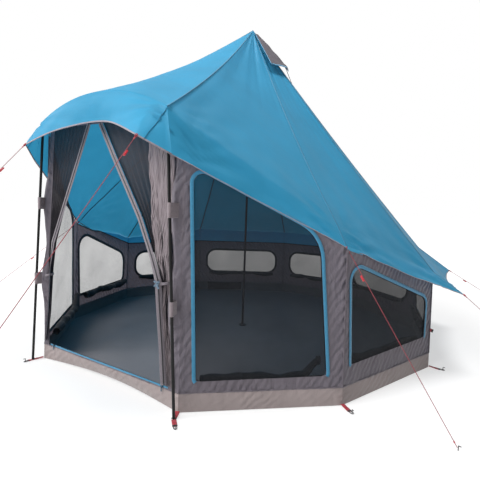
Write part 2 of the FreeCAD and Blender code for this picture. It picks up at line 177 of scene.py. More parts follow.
def make_camera():
    """The camera looks from the front right, at chest height, and leans a little."""
    back = Vector((math.sin(CAMERA_AZIMUTH) * math.cos(CAMERA_PITCH),
                   -math.cos(CAMERA_AZIMUTH) * math.cos(CAMERA_PITCH), math.sin(CAMERA_PITCH)))
    right = Vector((math.cos(CAMERA_AZIMUTH), math.sin(CAMERA_AZIMUTH), 0))
    up = back.cross(right)
    rolled = right * math.cos(CAMERA_ROLL) + up * math.sin(CAMERA_ROLL)
    upward = up * math.cos(CAMERA_ROLL) - right * math.sin(CAMERA_ROLL)
    data = bpy.data.cameras.new("camera")
    data.lens = CAMERA_LENS
    data.sensor_width = 36.0
    data.clip_end = 200
    camera = placed("camera", data)
    turn = Matrix((rolled, upward, back)).transposed().to_4x4()
    camera.matrix_world = Matrix.Translation(CAMERA_PLACE) @ turn
    bpy.context.scene.camera = camera


def area_light(name, place, target, size, power):
    """A round white light that faces a target."""
    data = bpy.data.lights.new(name, "AREA")
    data.shape = "DISK"
    data.size = size
    data.energy = power
    light = placed(name, data)
    light.location = place
    light.rotation_euler = (Vector(target) - Vector(place)).to_track_quat("-Z", "Y").to_euler()


# ---- materials ---------------------------------------------------------------------------------

def node(tree, kind, settings=None, inputs=None):
    """A new shader node with its settings and inputs; an input that is a socket is linked."""
    made = tree.nodes.new(kind)
    for key, value in (settings or {}).items():
        setattr(made, key, value)
    for key, value in (inputs or {}).items():
        if isinstance(value, bpy.types.NodeSocket):
            tree.links.new(value, made.inputs[key])
        else:
            made.inputs[key].default_value = value
    return made


def maths(tree, operation, first, second):
    return node(tree, "ShaderNodeMath", {"operation": operation}, {0: first, 1: second}).outputs[0]


def bumped(tree, height, strength, distance, under=None):
    """The surface direction with a relief `distance` metres high, on top of the one before it."""
    inputs = {"Strength": strength, "Distance": distance, "Height": height}
    if under:
        inputs["Normal"] = under
    return node(tree, "ShaderNodeBump", None, inputs).outputs[0]


def principled(tree, inputs):
    """The ordinary surface shader with these inputs."""
    return node(tree, "ShaderNodeBsdfPrincipled", None, inputs).outputs[0]


def empty_material(name):
    """A new material with no nodes, and its node tree."""
    material = bpy.data.materials.new(name)
    material.use_nodes = True
    material.node_tree.nodes.clear()
    return material, material.node_tree


def finished(material, shader):
    """The material, once its shader is linked to its output."""
    node(material.node_tree, "ShaderNodeOutputMaterial", None, {"Surface": shader})
    return material


def cloth_places(tree):
    """Real-size texture coordinates: metres across and along the cloth."""
    return node(tree, "ShaderNodeUVMap", {"uv_map": "cloth"}).outputs[0]


def scaled(tree, places, scale, turn=0.0):
    """Texture places turned and scaled, which packs a pattern closer together."""
    inputs = {"Vector": places, "Scale": scale, "Rotation": (0, 0, turn)}
    return node(tree, "ShaderNodeMapping", None, inputs).outputs[0]


def threads(tree, places, pitch, axis):
    """Parallel threads of the given pitch, from 0 to 1."""
    settings = {"wave_type": "BANDS", "bands_direction": axis, "wave_profile": "SIN"}
    inputs = {"Vector": places, "Scale": 0.314 / pitch, "Distortion": 0.0}
    return node(tree, "ShaderNodeTexWave", settings, inputs).outputs["Fac"]


def noise_value(tree, places, scale, detail, rough=0.55, distortion=0.0):
    """Cloudy noise from 0 to 1, with `scale` clouds in a metre."""
    inputs = {"Vector": places, "Scale": scale, "Detail": detail, "Roughness": rough,
              "Distortion": distortion}
    return node(tree, "ShaderNodeTexNoise", None, inputs).outputs["Fac"]


def ranged(tree, value, low, high, to_low, to_high):
    """A value moved from one range to another and held inside it."""
    inputs = {"Value": value, "From Min": low, "From Max": high, "To Min": to_low,
              "To Max": to_high}
    return node(tree, "ShaderNodeMapRange", None, inputs).outputs[0]


def tinted(tree, colour, amount):
    """A colour whose brightness is multiplied by a value."""
    inputs = {0: colour, "Scale": amount}
    return node(tree, "ShaderNodeVectorMath", {"operation": "SCALE"}, inputs).outputs[0]


def pulled_ripples(tree, places, turn):
    """Patches of wavering ripples about 45 mm apart, as where cloth is pulled askew."""
    settings = {"wave_type": "BANDS", "bands_direction": "X", "wave_profile": "SIN"}
    inputs = {"Vector": scaled(tree, places, (1, 1, 1), turn), "Scale": 7.0, "Distortion": 3.5,
              "Detail": 2.0, "Detail Scale": 1.6, "Detail Roughness": 0.6}
    ripples = node(tree, "ShaderNodeTexWave", settings, inputs).outputs["Fac"]
    patches = ranged(tree, noise_value(tree, places, 3.2, 2.0), 0.40, 0.62, 0.12, 1.0)
    return maths(tree, "MULTIPLY", ripples, patches)


def cloth_material(name, colour, pitch=0.0012, rough=0.5, sheen=0.15, through=0.0, fold=0.5,
                   variation=0.10, streaks=(5.0, 5.0), streak_turn=0.0, streak_depth=0.004,
                   pucker=0.0):
    """Woven cloth: threads, creases, puckers, uneven dye, sheen, and light that comes through."""
    material, tree = empty_material(name)
    places = cloth_places(tree)
    weave = maths(tree, "MULTIPLY", threads(tree, places, pitch, "X"),
                  threads(tree, places, pitch, "Y"))
    dye = noise_value(tree, places, 1.7, 4.0)
    thread_tone = noise_value(tree, scaled(tree, places, (420, 60, 1)), 1.0, 2.0)
    amount = maths(tree, "ADD", ranged(tree, dye, 0.25, 0.75, 1 - variation, 1 + variation),
                   ranged(tree, thread_tone, 0.2, 0.8, -0.04, 0.04))
    amount = maths(tree, "ADD", amount, ranged(tree, weave, 0.0, 1.0, -0.06, 0.06))
    tint = tinted(tree, colour, amount)
    streaky = scaled(tree, places, (*streaks, 1), streak_turn)
    creases = noise_value(tree, streaky, 1.0, 4.0, 0.5, 0.6)
    crumple = noise_value(tree, places, 14.0, 3.0, 0.5, 0.4)
    bump = bumped(tree, creases, fold, streak_depth)
    bump = bumped(tree, crumple, fold * 0.5, 0.003, bump)
    if pucker:
        bump = bumped(tree, pulled_ripples(tree, places, streak_turn), 1.0, pucker, bump)
    bump = bumped(tree, weave, 0.35, 0.0002, bump)
    uneven = ranged(tree, dye, 0.3, 0.7, rough - 0.05, rough + 0.05)
    shader = principled(tree, {"Base Color": tint, "Roughness": uneven, "Sheen Weight": sheen,
                               "Sheen Roughness": 0.4, "Normal": bump, "Specular IOR Level": 0.28})
    if through:
        glow = node(tree, "ShaderNodeBsdfTranslucent", None, {"Color": tint, "Normal": bump})
        inputs = {0: through, 1: shader, 2: glow.outputs[0]}
        shader = node(tree, "ShaderNodeMixShader", None, inputs).outputs[0]
    return finished(material, shader)


MESH_PITCH = 0.0022


def mesh_material(name, colour, cover):
    """Insect mesh: fine threads with open holes, which cover a share of what is behind them."""
    material, tree = empty_material(name)
    places = cloth_places(tree)
    grid = maths(tree, "MAXIMUM", threads(tree, places, MESH_PITCH, "X"),
                 threads(tree, places, MESH_PITCH, "Y"))
    soft = noise_value(tree, places, 3.0, 3.0)
    fill = maths(tree, "ADD", ranged(tree, grid, 0.3, 1.0, cover - 0.10, cover + 0.10),
                 ranged(tree, soft, 0.3, 0.7, -0.04, 0.04))
    tint = tinted(tree, colour, ranged(tree, soft, 0.3, 0.7, 0.85, 1.15))
    solid = principled(tree, {"Base Color": tint, "Roughness": 0.7, "Specular IOR Level": 0.2,
                              "Normal": bumped(tree, grid, 0.3, 0.0004)})
    hole = node(tree, "ShaderNodeBsdfTransparent").outputs[0]
    mixed = node(tree, "ShaderNodeMixShader", None, {0: fill, 1: hole, 2: solid})
    return finished(material, mixed.outputs[0])


def webbing_material(name, colour, pitch):
    """Woven tape: a herringbone of coarse threads across its width."""
    material, tree = empty_material(name)
    places = cloth_places(tree)
    left = threads(tree, scaled(tree, places, (1, 1, 1), 0.8), pitch, "X")
    right = threads(tree, scaled(tree, places, (1, 1, 1), -0.8), pitch, "X")
    rib = maths(tree, "MAXIMUM", left, right)
    wear = noise_value(tree, places, 60.0, 3.0)
    tint = tinted(tree, colour, maths(tree, "ADD", ranged(tree, rib, 0, 1, 0.75, 1.1),
                                      ranged(tree, wear, 0.3, 0.7, -0.1, 0.1)))
    shader = principled(tree, {"Base Color": tint, "Roughness": 0.6, "Sheen Weight": 0.25,
                               "Normal": bumped(tree, rib, 0.6, 0.0006)})
    return finished(material, shader)


def solid_material(name, colour, metal=0.0, rough=0.4, worn=None, shine=0.5):
    """Painted steel or moulded plastic, with a fine grain, scuffs and lighter worn spots."""
    material, tree = empty_material(name)
    places = node(tree, "ShaderNodeTexCoord").outputs["Object"]
    fine = noise_value(tree, places, 400.0, 2.0)
    scuffs = noise_value(tree, scaled(tree, places, (40, 40, 6)), 1.0, 5.0, 0.65)
    tint = tinted(tree, colour, ranged(tree, scuffs, 0.3, 0.7, 0.8, 1.25))
    if worn:
        mask = ranged(tree, scuffs, 0.66, 0.74, 0.0, 0.6)
        mix = node(tree, "ShaderNodeMix", {"data_type": "RGBA"}, {0: mask})
        tree.links.new(tint, mix.inputs[6])
        mix.inputs[7].default_value = (*worn, 1)
        tint = mix.outputs[2]
    uneven = ranged(tree, scuffs, 0.3, 0.7, rough - 0.08, rough + 0.12)
    shader = principled(tree, {"Base Color": tint, "Metallic": metal, "Roughness": uneven,
                               "Specular IOR Level": shine,
                               "Normal": bumped(tree, fine, 0.15, 0.0003)})
    return finished(material, shader)


def floor_material():
    """Pale ground that grows brighter away from the tent, until it looks as white as the room. It
    glows with painted light, which also fills in the tent's shadows on it and lights the tent from
    below.
    """
    material, tree = empty_material("studio_floor")
    places = node(tree, "ShaderNodeTexCoord").outputs["Object"]
    soft = noise_value(tree, places, 0.6, 3.0)
    tint = tinted(tree, (0.42, 0.42, 0.42), ranged(tree, soft, 0.3, 0.7, 0.985, 1.0))
    length = node(tree, "ShaderNodeVectorMath", {"operation": "LENGTH"}, {0: places})
    # Painted light: the ground glows, less near the tent than far off, and the glow fills in the
    # tent's shadows.
    glow = ranged(tree, length.outputs["Value"], 2.5, 7.0, 0.56, 0.92)
    shader = principled(tree, {"Base Color": tint, "Roughness": 0.9, "Specular IOR Level": 0.0,
                               "Emission Strength": glow})
    return finished(material, shader)


# ---- pieces ------------------------------------------------------------------------------------

class Sheet:
    """Points, faces and real-size texture places of one piece, welded where points coincide."""

    def __init__(self):
        self.points = []
        self.known = {}
        self.faces = []
        self.places = []
        self.kinds = []

    def vertex(self, point):
        """The number of the point; points that round to the same 0.01 mm are one point."""
        key = tuple(round(value, 5) for value in point)
        if key not in self.known:
            self.known[key] = len(self.points)
            self.points.append(Vector(point))
        return self.known[key]

    def face(self, corners, places, kind=0):
        """A face between points, unless it has shrunk to an edge; kind is its material's number."""
        used, kept = [], []
        for corner, place in zip(corners, places):
            index = self.vertex(corner)
            if index not in used:
                used.append(index)
                kept.append(place)
        if len(used) > 2:
            self.faces.append(used)
            self.places.append(kept)
            self.kinds.append(kind)

    def grid(self, rows, places, kind=0):
        """Faces between rows of points; places holds each point's texture place."""
        for i in range(len(rows) - 1):
            for j in range(len(rows[0]) - 1):
                corner = ((i, j), (i, j + 1), (i + 1, j + 1), (i + 1, j))
                self.face([rows[a][b] for a, b in corner], [places[a][b] for a, b in corner], kind)

    def make(self, name, slot, *materials, body="tent"):
        """The piece in the scene, riding on its CAD body. The slot argument, its material slot's
        name, is not used.
        """
        data = bpy.data.meshes.new(name)
        data.from_pydata(self.points, [], self.faces)
        layer = data.uv_layers.new(name="cloth")
        flat = [value for face in self.places for place in face for value in place]
        layer.data.foreach_set("uv", flat)
        data.polygons.foreach_set("use_smooth", [True] * len(self.faces))
        data.polygons.foreach_set("material_index", self.kinds)
        for material in materials:
            data.materials.append(material)
        data.validate()
        piece = placed(name, data)
        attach(piece, body)
        return piece


def path_places(path):
    """How far along a path each of its points is."""
    reach = [0.0]
    for a, b in zip(path, path[1:]):
        reach.append(reach[-1] + (b - a).length)
    return reach


def close_ends(sheet, rows, places):
    """One face over each end of a tube that is made of closed rows."""
    for row, place in ((rows[0], places[0]), (rows[-1][::-1], places[-1][::-1])):
        sheet.face(row[:-1], place[:-1])


def tape(sheet, path, across, width, thick, lift=0.0, closed=False):
    """A flat tape with rounded edges; across is its width's direction, or one for each point."""
    ways = across if isinstance(across, list) else [across] * len(path)
    profile = [(-0.5, 0.0), (-0.47, 0.5), (-0.2, 0.62), (0.2, 0.62), (0.47, 0.5), (0.5, 0.0),
               (0.47, -0.5), (0.0, -0.55), (-0.47, -0.5), (-0.5, 0.0)]
    reach = path_places(path)
    rows, places = [], []
    for i, point in enumerate(path):
        ahead = path[min(i + 1, len(path) - 1)]
        behind = path[max(i - 1, 0)]
        tangent = (ahead - behind).normalized()
        wide = (ways[i] - tangent * ways[i].dot(tangent)).normalized()
        normal = tangent.cross(wide).normalized()
        rows.append([point + wide * (a * width) + normal * (b * thick + lift) for a, b in profile])
        places.append([(a * width, reach[i]) for a, _ in profile])
    sheet.grid(rows, places)
    if not closed:
        close_ends(sheet, rows, places)


def round_bar(sheet, path, radius, sides=10, ends=True):
    """A round bar along a path. radius is one number, or one for each point."""
    radii = radius if isinstance(radius, (list, tuple)) else [radius] * len(path)
    reach = path_places(path)
    guide = Vector((0.31, 0.17, 0.93))  # no bar runs along it
    rows, places = [], []
    for i, point in enumerate(path):
        tangent = (path[min(i + 1, len(path) - 1)] - path[max(i - 1, 0)]).normalized()
        first = tangent.cross(guide).normalized()
        second = tangent.cross(first)
        rows.append([point + (first * math.cos(a) + second * math.sin(a)) * radii[i]
                     for a in circle(sides)])
        places.append([(radii[i] * a, reach[i]) for a in circle(sides)])
    sheet.grid(rows, places)
    if ends:
        close_ends(sheet, rows, places)


def outline_area(outline):
    """The area inside an outline of (u, z)."""
    total = 0.0
    for (a, b), (c, d) in zip(outline, outline[1:] + outline[:1]):
        total += a * d - b * c
    return abs(total) / 2


# ---- guy lines ---------------------------------------------------------------------------------

def make_guys(material, knot_material):
    """Taut lines from the fly's tips to their pegs, each with its knots and its CAD runner."""
    for name, tip, end in GUYS:
        along = (end - tip).normalized()
        start = tip + along * 0.010
        data = bpy.data.curves.new("guy_line_" + name, "CURVE")
        data.dimensions = "3D"
        data.bevel_depth = GUY_RADIUS
        data.bevel_resolution = 3
        spline = data.splines.new("NURBS")
        route = [start, start.lerp(end, 0.5), end]
        spline.points.add(len(route) - 1)
        for point, place in zip(spline.points, route):
            point.co = (*place, 1)
        spline.order_u = 3
        spline.use_endpoint_u = True
        data.materials.append(material)
        line = placed("guy_line_" + name, data)
        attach(line, "tent")
        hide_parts("guy_" + name)
        knots = Sheet()
        for place, size in ((start + along * 0.018, 0.0048), (end - along * 0.030, 0.0046)):
            path = [place + along * (k * 0.0035 - 0.007) for k in range(5)]
            round_bar(knots, path, [size * f for f in (0.45, 0.9, 1.0, 0.9, 0.45)])
        tie = knots.make("guy_knots_" + name, "guy_line", knot_material)


# ---- fly ---------------------------------------------------------------------------------------

def ridge_ends(corner):
    """The point of a ridge near the wall line, and its tip."""
    row = min(corner, 9 - corner)
    if row == 0:
        ends = (UPRIGHT_TOP + Vector((0.008, -0.014, FLY_LIFT)), CANOPY_HEM[0])
        return ends if corner == 0 else tuple(mirrored(p) for p in ends)
    return tuple(PLAN[corner] * share + Vector((0, 0, height))
                 for share, height in (FLY_OVER[row], FLY_TIP[row]))


RIDGES = [ridge_ends(corner) for corner in range(10)]
SAGS = around(RIDGE_SAG)
HEM_CURVES = list(HEM_CURVE) + list(reversed(HEM_CURVE[:4]))


def hung(start, end, share, sag):
    """A point on a line that hangs between two points."""
    return start.lerp(end, share) - Vector((0, 0, 4 * sag * share * (1 - share)))


def ridge_point(corner, s):
    """s is 0 at the apex, 1 over the wall and 2 at the tip."""
    over, tip = RIDGES[corner]
    if s <= 1:
        return hung(APEX, over, s, SAGS[corner])
    return over.lerp(tip, s - 1)


def arch_height(x):
    """The height of the bent pole over the door, which is an arc of a circle."""
    rise = ARCH_TOP - UPRIGHT_TOP.z
    radius = (UPRIGHT_TOP.x ** 2 + rise ** 2) / (2 * rise)
    x = min(abs(x), UPRIGHT_TOP.x)
    return ARCH_TOP - radius + math.sqrt(radius ** 2 - x ** 2)


def over_arch(x):
    """A point of the fly on the bent pole."""
    return Vector((x, UPRIGHT_TOP.y - 0.014, arch_height(x) + FLY_LIFT))


def fan(point, centre, axis, reach, count, phase):
    """Creases that fan out from a point that pulls on the cloth, from -1 to 1."""
    gap = point - centre
    away = gap.length
    if away > 4 * reach or away < 1e-6:
        return 0.0
    turn = gap.angle(axis)
    return math.sin(count * turn + phase) * math.exp(-away / reach) * min(1.0, away / 0.06)


def gore_creases(side, point, t, s):
    """How far a gore's cloth stands off its taut place."""
    first, second = side, (side + 1) % 10
    drop = -0.014 * math.sin(math.pi * t) * math.sin(math.pi * min(s, 1.0) * 0.9)
    waves = noise.noise(point * 1.6 + Vector((side, 0, 0))) * 0.010
    waves += noise.noise(Vector((t * 7 + side * 3, s * 2.2, 0))) * 0.006
    for corner, axis_end in ((first, second), (second, first)):
        over, tip = RIDGES[corner]
        pull = (ridge_point(axis_end, 1.6) - tip).normalized()
        waves += 0.011 * fan(point, tip, pull, 0.24, 17, corner)
        depth = 0.015 if corner in (0, 9) else 0.009
        waves += depth * fan(point, over, pull, 0.20, 15, 2 + corner)
    waves += 0.0030 * fan(point, APEX, (RIDGES[first][0] - APEX).normalized(), 0.5, 30, side)
    hem_gap = (2 - s) if s > 1 else 1 + (1 - s) * 6
    waves += 0.0035 * math.sin(9 * hem_gap + 2 * t) * math.exp(-0.9 * hem_gap) * (s > 0.6)
    held = min(1.0, 9 * t, 9 * (1 - t))
    return (drop + waves) * smooth(held)


def side_gore(side):
    """Rows of points of one gore from the apex to its scalloped hem."""
    outward = side_axes(side)[2]
    rows = []
    steps = [k / GORE_ROWS for k in range(GORE_ROWS + 1)]
    steps += [1 + (k + 1) / SKIRT_ROWS for k in range(SKIRT_ROWS)]
    for s in steps:
        first, second = ridge_point(side, s), ridge_point((side + 1) % 10, s)
        slope = ridge_point(side, min(s + 0.01, 2)) - ridge_point(side, max(s - 0.01, 0))
        normal = (second - first).cross(slope).normalized() if s > 0 else UP.copy()
        if normal.z < 0:
            normal = -normal
        row = []
        for k in range(GORE_COLUMNS + 1):
            t = k / GORE_COLUMNS
            point = first.lerp(second, t)
            if s > 1:
                point = point - outward * (HEM_CURVES[side] * 4 * t * (1 - t) * (s - 1) ** 1.5)
            row.append(point + normal * gore_creases(side, point, t, s))
        rows.append(row)
    return rows


def front_columns():
    """Where the front gore and the canopy have their columns, as x along the arch."""
    edge = RIDGES[0][0].x
    half = [edge, 0.636, 0.618, 0.600, 0.580, 0.560]
    half += [0.560 - 0.560 * k / 20 for k in range(1, 21)]
    return half + [-x for x in reversed(half[:-1])]


def front_gore(columns):
    """Rows of points of the gore over the door, from the apex to the bent pole."""
    rows = []
    for i in range(GORE_ROWS + 1):
        s = i / GORE_ROWS
        row = []
        for x in columns:
            point = hung(APEX, over_arch(x), s, RIDGE_SAG[0])
            t = 0.5 + x / (2 * columns[0])
            held = smooth(min(1.0, 9 * t, 9 * (1 - t), 14 * (1 - s)))
            waves = noise.noise(point * 1.7) * 0.010 + noise.noise(point * 5.1) * 0.003
            waves += 0.006 * fan(point, RIDGES[0][0], Vector((-1, 0, 0)), 0.20, 15, 0.0)
            waves += 0.006 * fan(point, RIDGES[9][0], Vector((1, 0, 0)), 0.20, 15, 0.5)
            waves -= 0.012 * math.sin(math.pi * t) * math.sin(math.pi * s)
            row.append(point + Vector((0, -0.45, 0.9)) * (waves * held))
        rows.append(row)
    return rows


def hem_under(x):
    """The canopy's hem under the arch at x, for x from the middle to the right."""
    if x >= CANOPY_TOP_X[0]:
        return CANOPY_HEM[0].copy()
    for k in range(4):
        high, low = CANOPY_TOP_X[k], CANOPY_TOP_X[k + 1]
        if x >= low:
            share = (high - x) / (high - low)
            if k == 0:
                return CANOPY_HEM[0].lerp(CANOPY_TIP, share)
            before = CANOPY_HEM[k - 1] if k > 1 else CANOPY_HEM[k] * 2 - CANOPY_HEM[k + 1]
            after = CANOPY_HEM[k + 2] if k < 3 else mirrored(CANOPY_HEM[3])
            return catmull(before, CANOPY_HEM[k], CANOPY_HEM[k + 1], after, share)
    return CANOPY_HEM[4].copy()


def catmull(a, b, c, d, t):
    """A point on the smooth curve through b and c."""
    return (b * 2 + (c - a) * t + (a * 2 - b * 5 + c * 4 - d) * t ** 2
            + (b * 3 - a - c * 3 + d) * t ** 3) * 0.5


def canopy_rows(columns):
    """Rows of the hanging front of the canopy, from the arch down to its hem."""
    count = 22
    rows = []
    for i in range(count + 1):
        q = i / count
        row = []
        for x in columns:
            hem = hem_under(abs(x))
            hem = mirrored(hem) if x < 0 else hem
            top = over_arch(x)
            point = top.lerp(hem, q)
            bulge = 0.010 * math.sin(math.pi * q) * (1 - (x / columns[0]) ** 2)
            waves = 0.012 * fan(point, RIDGES[0][0], Vector((-0.5, -0.3, -0.8)), 0.22, 18, 1.0)
            waves += 0.012 * fan(point, RIDGES[9][0], Vector((0.5, -0.3, -0.8)), 0.22, 18, 0.3)
            waves += noise.noise(Vector((x * 9, q * 1.4, 3.1))) * 0.007 * math.sin(math.pi * q)
            held = smooth(min(1.0, 6 * q, 5 * (1 - q), 12 * (1 - abs(x) / columns[0])))
            row.append(point + Vector((0, -1, 0.1)) * ((bulge + waves) * held))
        rows.append(row)
    return rows


def places_of(rows):
    """Real-size texture places of a grid: along each row from its middle, and down the sheet."""
    down = 0.0
    places = []
    for i, row in enumerate(rows):
        middle = len(row) // 2
        if i:
            down += (row[middle] - rows[i - 1][middle]).length
        reach = path_places(row)
        places.append([(r - reach[middle], down) for r in reach])
    return places


def make_fly(material):
    """The whole fly and its canopy as one continuous sheet."""
    sheet = Sheet()
    for side in range(9):
        rows = side_gore(side)
        sheet.grid(rows, places_of(rows))
    columns = front_columns()
    rows = front_gore(columns)
    sheet.grid(rows, places_of(rows))
    rows = canopy_rows(columns)
    sheet.grid(rows, places_of(rows))
    fly = sheet.make("fly", "fly_cloth", material)
    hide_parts("fly_panel_front", "canopy_visor", *["fly_panel_" + n for n in SIDE_NAMES])
    return fly, rows


def surface_tree(piece):
    """A mesh in the form that finds its nearest points and the rays that meet it."""
    return BVHTree.FromPolygons([v.co for v in piece.data.vertices],
                                [tuple(p.vertices) for p in piece.data.polygons])


def on_surface(tree, point, lift):
    """The nearest point of a surface, lifted off it along its upward normal."""
    place, normal = tree.find_nearest(point)[:2]
    if normal.z < 0:
        normal = -normal
    return place + normal * lift, normal


def make_fly_trim(tree, canopy, seam_material, binding_material, inner_material):
    """Felled seams over the ridges, dark tapes under them, and the binding of the hem."""
    outer, inner, hem = Sheet(), Sheet(), Sheet()
    for corner in range(10):
        last = 2.0 if corner not in (0, 9) else 1.0
        steps = [0.012 + (last - 0.014) * k / 90 for k in range(91)]
        path = [ridge_point(corner, s) for s in steps]
        side_way = Vector((-PLAN[corner].y, PLAN[corner].x, 0)).normalized()
        over = [on_surface(tree, p, 0.0012)[0] for p in path]
        tape(outer, over, side_way, 0.011, 0.0012)
        under = [on_surface(tree, p, -0.004)[0] for p in path[6:80]]
        tape(inner, under, side_way, 0.013, 0.0015)
    for side in range(9):
        row = side_gore(side)[-1]
        outward = side_axes(side)[2]
        tape(hem, row, outward - UP / 2, 0.010, 0.0030)
    tape(hem, canopy[-1], Vector((0, 0.2, 1)), 0.010, 0.0030)
    for way in (1, -1):
        elbow = canopy[0][0] if way > 0 else canopy[0][-1]
        foot = CANOPY_HEM[0].lerp(CANOPY_TIP, 0.79)
        foot = foot if way > 0 else mirrored(foot)
        path = [tree.find_nearest(elbow.lerp(foot, 0.06 + 0.94 * k / 24))[0]
                + Vector((way * 0.0008, -0.0016, 0.0010)) for k in range(25)]
        tape(outer, path, Vector((way * 0.6, -0.3, 0.5)), 0.008, 0.0012)
    outer.make("fly_seams", "fly_cloth", seam_material)
    inner.make("fly_seam_tapes", "fly_cloth", inner_material)
    hem.make("fly_hem_binding", "fly_cloth", binding_material)


# ---- walls -------------------------------------------------------------------------------------

FLY_GAP = 0.011
wall_tops = {}
beyond_fly = {}


def find_wall_tops(tree):
    """The height at which each wall meets the fly, straight over 41 points of its side."""
    for side in range(9):
        length = side_length(side)
        lean = (Vector((0, 0, 1)) - side_axes(side)[2] * WALL_LEAN).normalized()
        hits = [tree.ray_cast(on_wall(side, length * k / 40, 0.3), lean, 2.6)[0] for k in range(41)]
        heights = [hit.z - FLY_GAP if hit else None for hit in hits]
        beyond_fly[side] = [hit is None for hit in hits]
        found = [k for k in range(41) if heights[k]]
        start, end = RIDGES[side][1].z - FLY_GAP, RIDGES[side + 1][1].z - FLY_GAP
        for k in range(41):
            if heights[k] is None and k < found[0]:
                heights[k] = start + (heights[found[0]] - start) * k / found[0]
            elif heights[k] is None:
                share = (k - found[-1]) / (40 - found[-1])
                heights[k] = heights[found[-1]] + (end - heights[found[-1]]) * share
        wall_tops[side] = heights


def wall_top(side, u):
    """The height at which a wall meets the fly."""
    place = min(39.999, max(0.0, 40 * u / side_length(side)))
    k = int(place)
    heights = wall_tops[side]
    return heights[k] + (heights[k + 1] - heights[k]) * (place - k)


def seam_height(side, u):
    """Where the grey wall ends: on a straight line from corner to corner, but under the fly."""
    share = u / side_length(side)
    height = SEAM_TOPS[side] + (SEAM_TOPS[(side + 1) % 10] - SEAM_TOPS[side]) * share
    return min(height, wall_top(side, u))


def window_outline(side):
    """The window's corners in (u, z) from its lower left one, and the radius of each."""
    length = side_length(side)
    name = SIDE_NAMES[side]
    outline = [(0.125, 0.290), (length - 0.125, 0.290), (length - 0.125, 0.600), (0.125, 0.600)]
    radii = [0.12, 0.12, 0.12, 0.12]
    if name.endswith("_front"):
        outline = [(0.105, 0.195), (length - 0.118, 0.205), (length - 0.200, 1.125), (0.062, 1.520)]
        radii = [0.02, 0.02, 0.26, 0.055]
    if name.endswith("_mid"):
        outline = [(0.075, 0.260), (length - 0.110, 0.275), (length - 0.105, 0.600), (0.045, 0.945)]
        radii = [0.02, 0.02, 0.085, 0.085]
    if name == "left_mid":
        radii = [0.02, 0.06, 0.16, 0.12]
    if name.startswith("left") and not name.endswith("_rear"):
        order = (1, 0, 3, 2)
        outline = [(length - outline[i][0], outline[i][1]) for i in order]
        radii = [radii[i] for i in order]
    return outline, radii


def rounded(outline, radii):
    """An outline with an arc of 9 points at each corner and 11 points between two corners."""
    arcs = []
    count = len(outline)
    for i, radius in enumerate(radii):
        corner = Vector(outline[i])
        back = (Vector(outline[i - 1]) - corner).normalized()
        ahead = (Vector(outline[(i + 1) % count]) - corner).normalized()
        half = back.angle(ahead) / 2
        reach = radius / math.tan(half)
        centre = corner + (back + ahead).normalized() * (radius / math.sin(half))
        first, last = corner + back * reach - centre, corner + ahead * reach - centre
        turn = first.angle(last)
        arcs.append([centre + (first * math.sin(turn * (8 - k) / 8) + last * math.sin(turn * k / 8))
                     / math.sin(turn) for k in range(9)])
    points = []
    for i, arc in enumerate(arcs):
        following = arcs[(i + 1) % count][0]
        points += arc + [arc[-1].lerp(following, k / 12) for k in range(1, 12)]
    return [tuple(p) for p in points]


def ray_exit(outline, centre, turn):
    """Where a ray from the centre leaves an outline."""
    way = Vector((math.cos(turn), math.sin(turn)))
    best = None
    for a, b in zip(outline, outline[1:] + outline[:1]):
        edge = Vector(b) - Vector(a)
        det = way.x * -edge.y + edge.x * way.y
        if abs(det) < 1e-12:
            continue
        gap = Vector(a) - centre
        far = (gap.x * -edge.y + edge.x * gap.y) / det
        share = (way.x * gap.y - way.y * gap.x) / det
        if far > 0 and -1e-6 <= share <= 1 + 1e-6 and (best is None or far > best):
            best = far
    return centre + way * best


def wall_creases(side, u, z):
    """Soft upright folds, with pulls towards the corners."""
    length = side_length(side)
    seed = side * 5.3
    value = noise.noise(Vector((u * 3.1 + seed, z * 1.1, 0.3))) * 0.009
    value += noise.noise(Vector((u * 13 + z * 6 + seed, z * 2.0 - u * 2, 1.7))) * 0.004
    edge = min(u, length - u)
    way = 1 if u > length / 2 else -1
    pull = math.sin(46 * (edge * 1.1 + way * z * 0.42) + seed) * math.exp(-edge / 0.16)
    return value + 0.0032 * pull


def middle_of(outline):
    """The mean of an outline's corners."""
    count = len(outline)
    return Vector((sum(u for u, _ in outline) / count, sum(z for _, z in outline) / count))


def make_wall(side, material):
    """One grey wall round its window, as rings from the window's edge out to the seams."""
    length = side_length(side)
    window, radii = window_outline(side)
    inner = rounded(window, radii)
    columns = [length * k / 24 for k in range(25)]
    outer = [(u, TUB_HEIGHT + 0.001) for u in columns]
    outer += [(u, seam_height(side, u)) for u in reversed(columns)]
    centre = middle_of(window)
    turns = circle(150)[:-1]
    turns += [math.atan2(z - centre.y, u - centre.x) % (2 * math.pi)
              for u, z in (outer[0], outer[24], outer[25], outer[49])]
    turns.sort()
    turns.append(turns[0] + 2 * math.pi)

    def wall_point(share, turn):
        u, z = ray_exit(inner, centre, turn).lerp(ray_exit(outer, centre, turn), share)
        held = smooth(min(1.0, 4 * (1 - share))) * (0.25 + 0.75 * smooth(4 * (share - 0.35)))
        return on_wall(side, u, z, wall_creases(side, u, z) * held), (u, z)

    sheet = Sheet()
    sheet.grid(*patch(shares(10), turns, wall_point))
    wall = sheet.make("wall_cloth_" + SIDE_NAMES[side], "wall_cloth", material)
    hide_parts("wall_" + SIDE_NAMES[side])
    declare_strips(outer, inner)


def declare_strips(outer, inner):
    """A wall is cut as strips that are sewn round its window; this only measures the lengths round
    its outline and its window, and uses them for nothing.
    """
    rims = [path_places([Vector(p) for p in rim + rim[:1]])[-1] for rim in (outer, inner)]


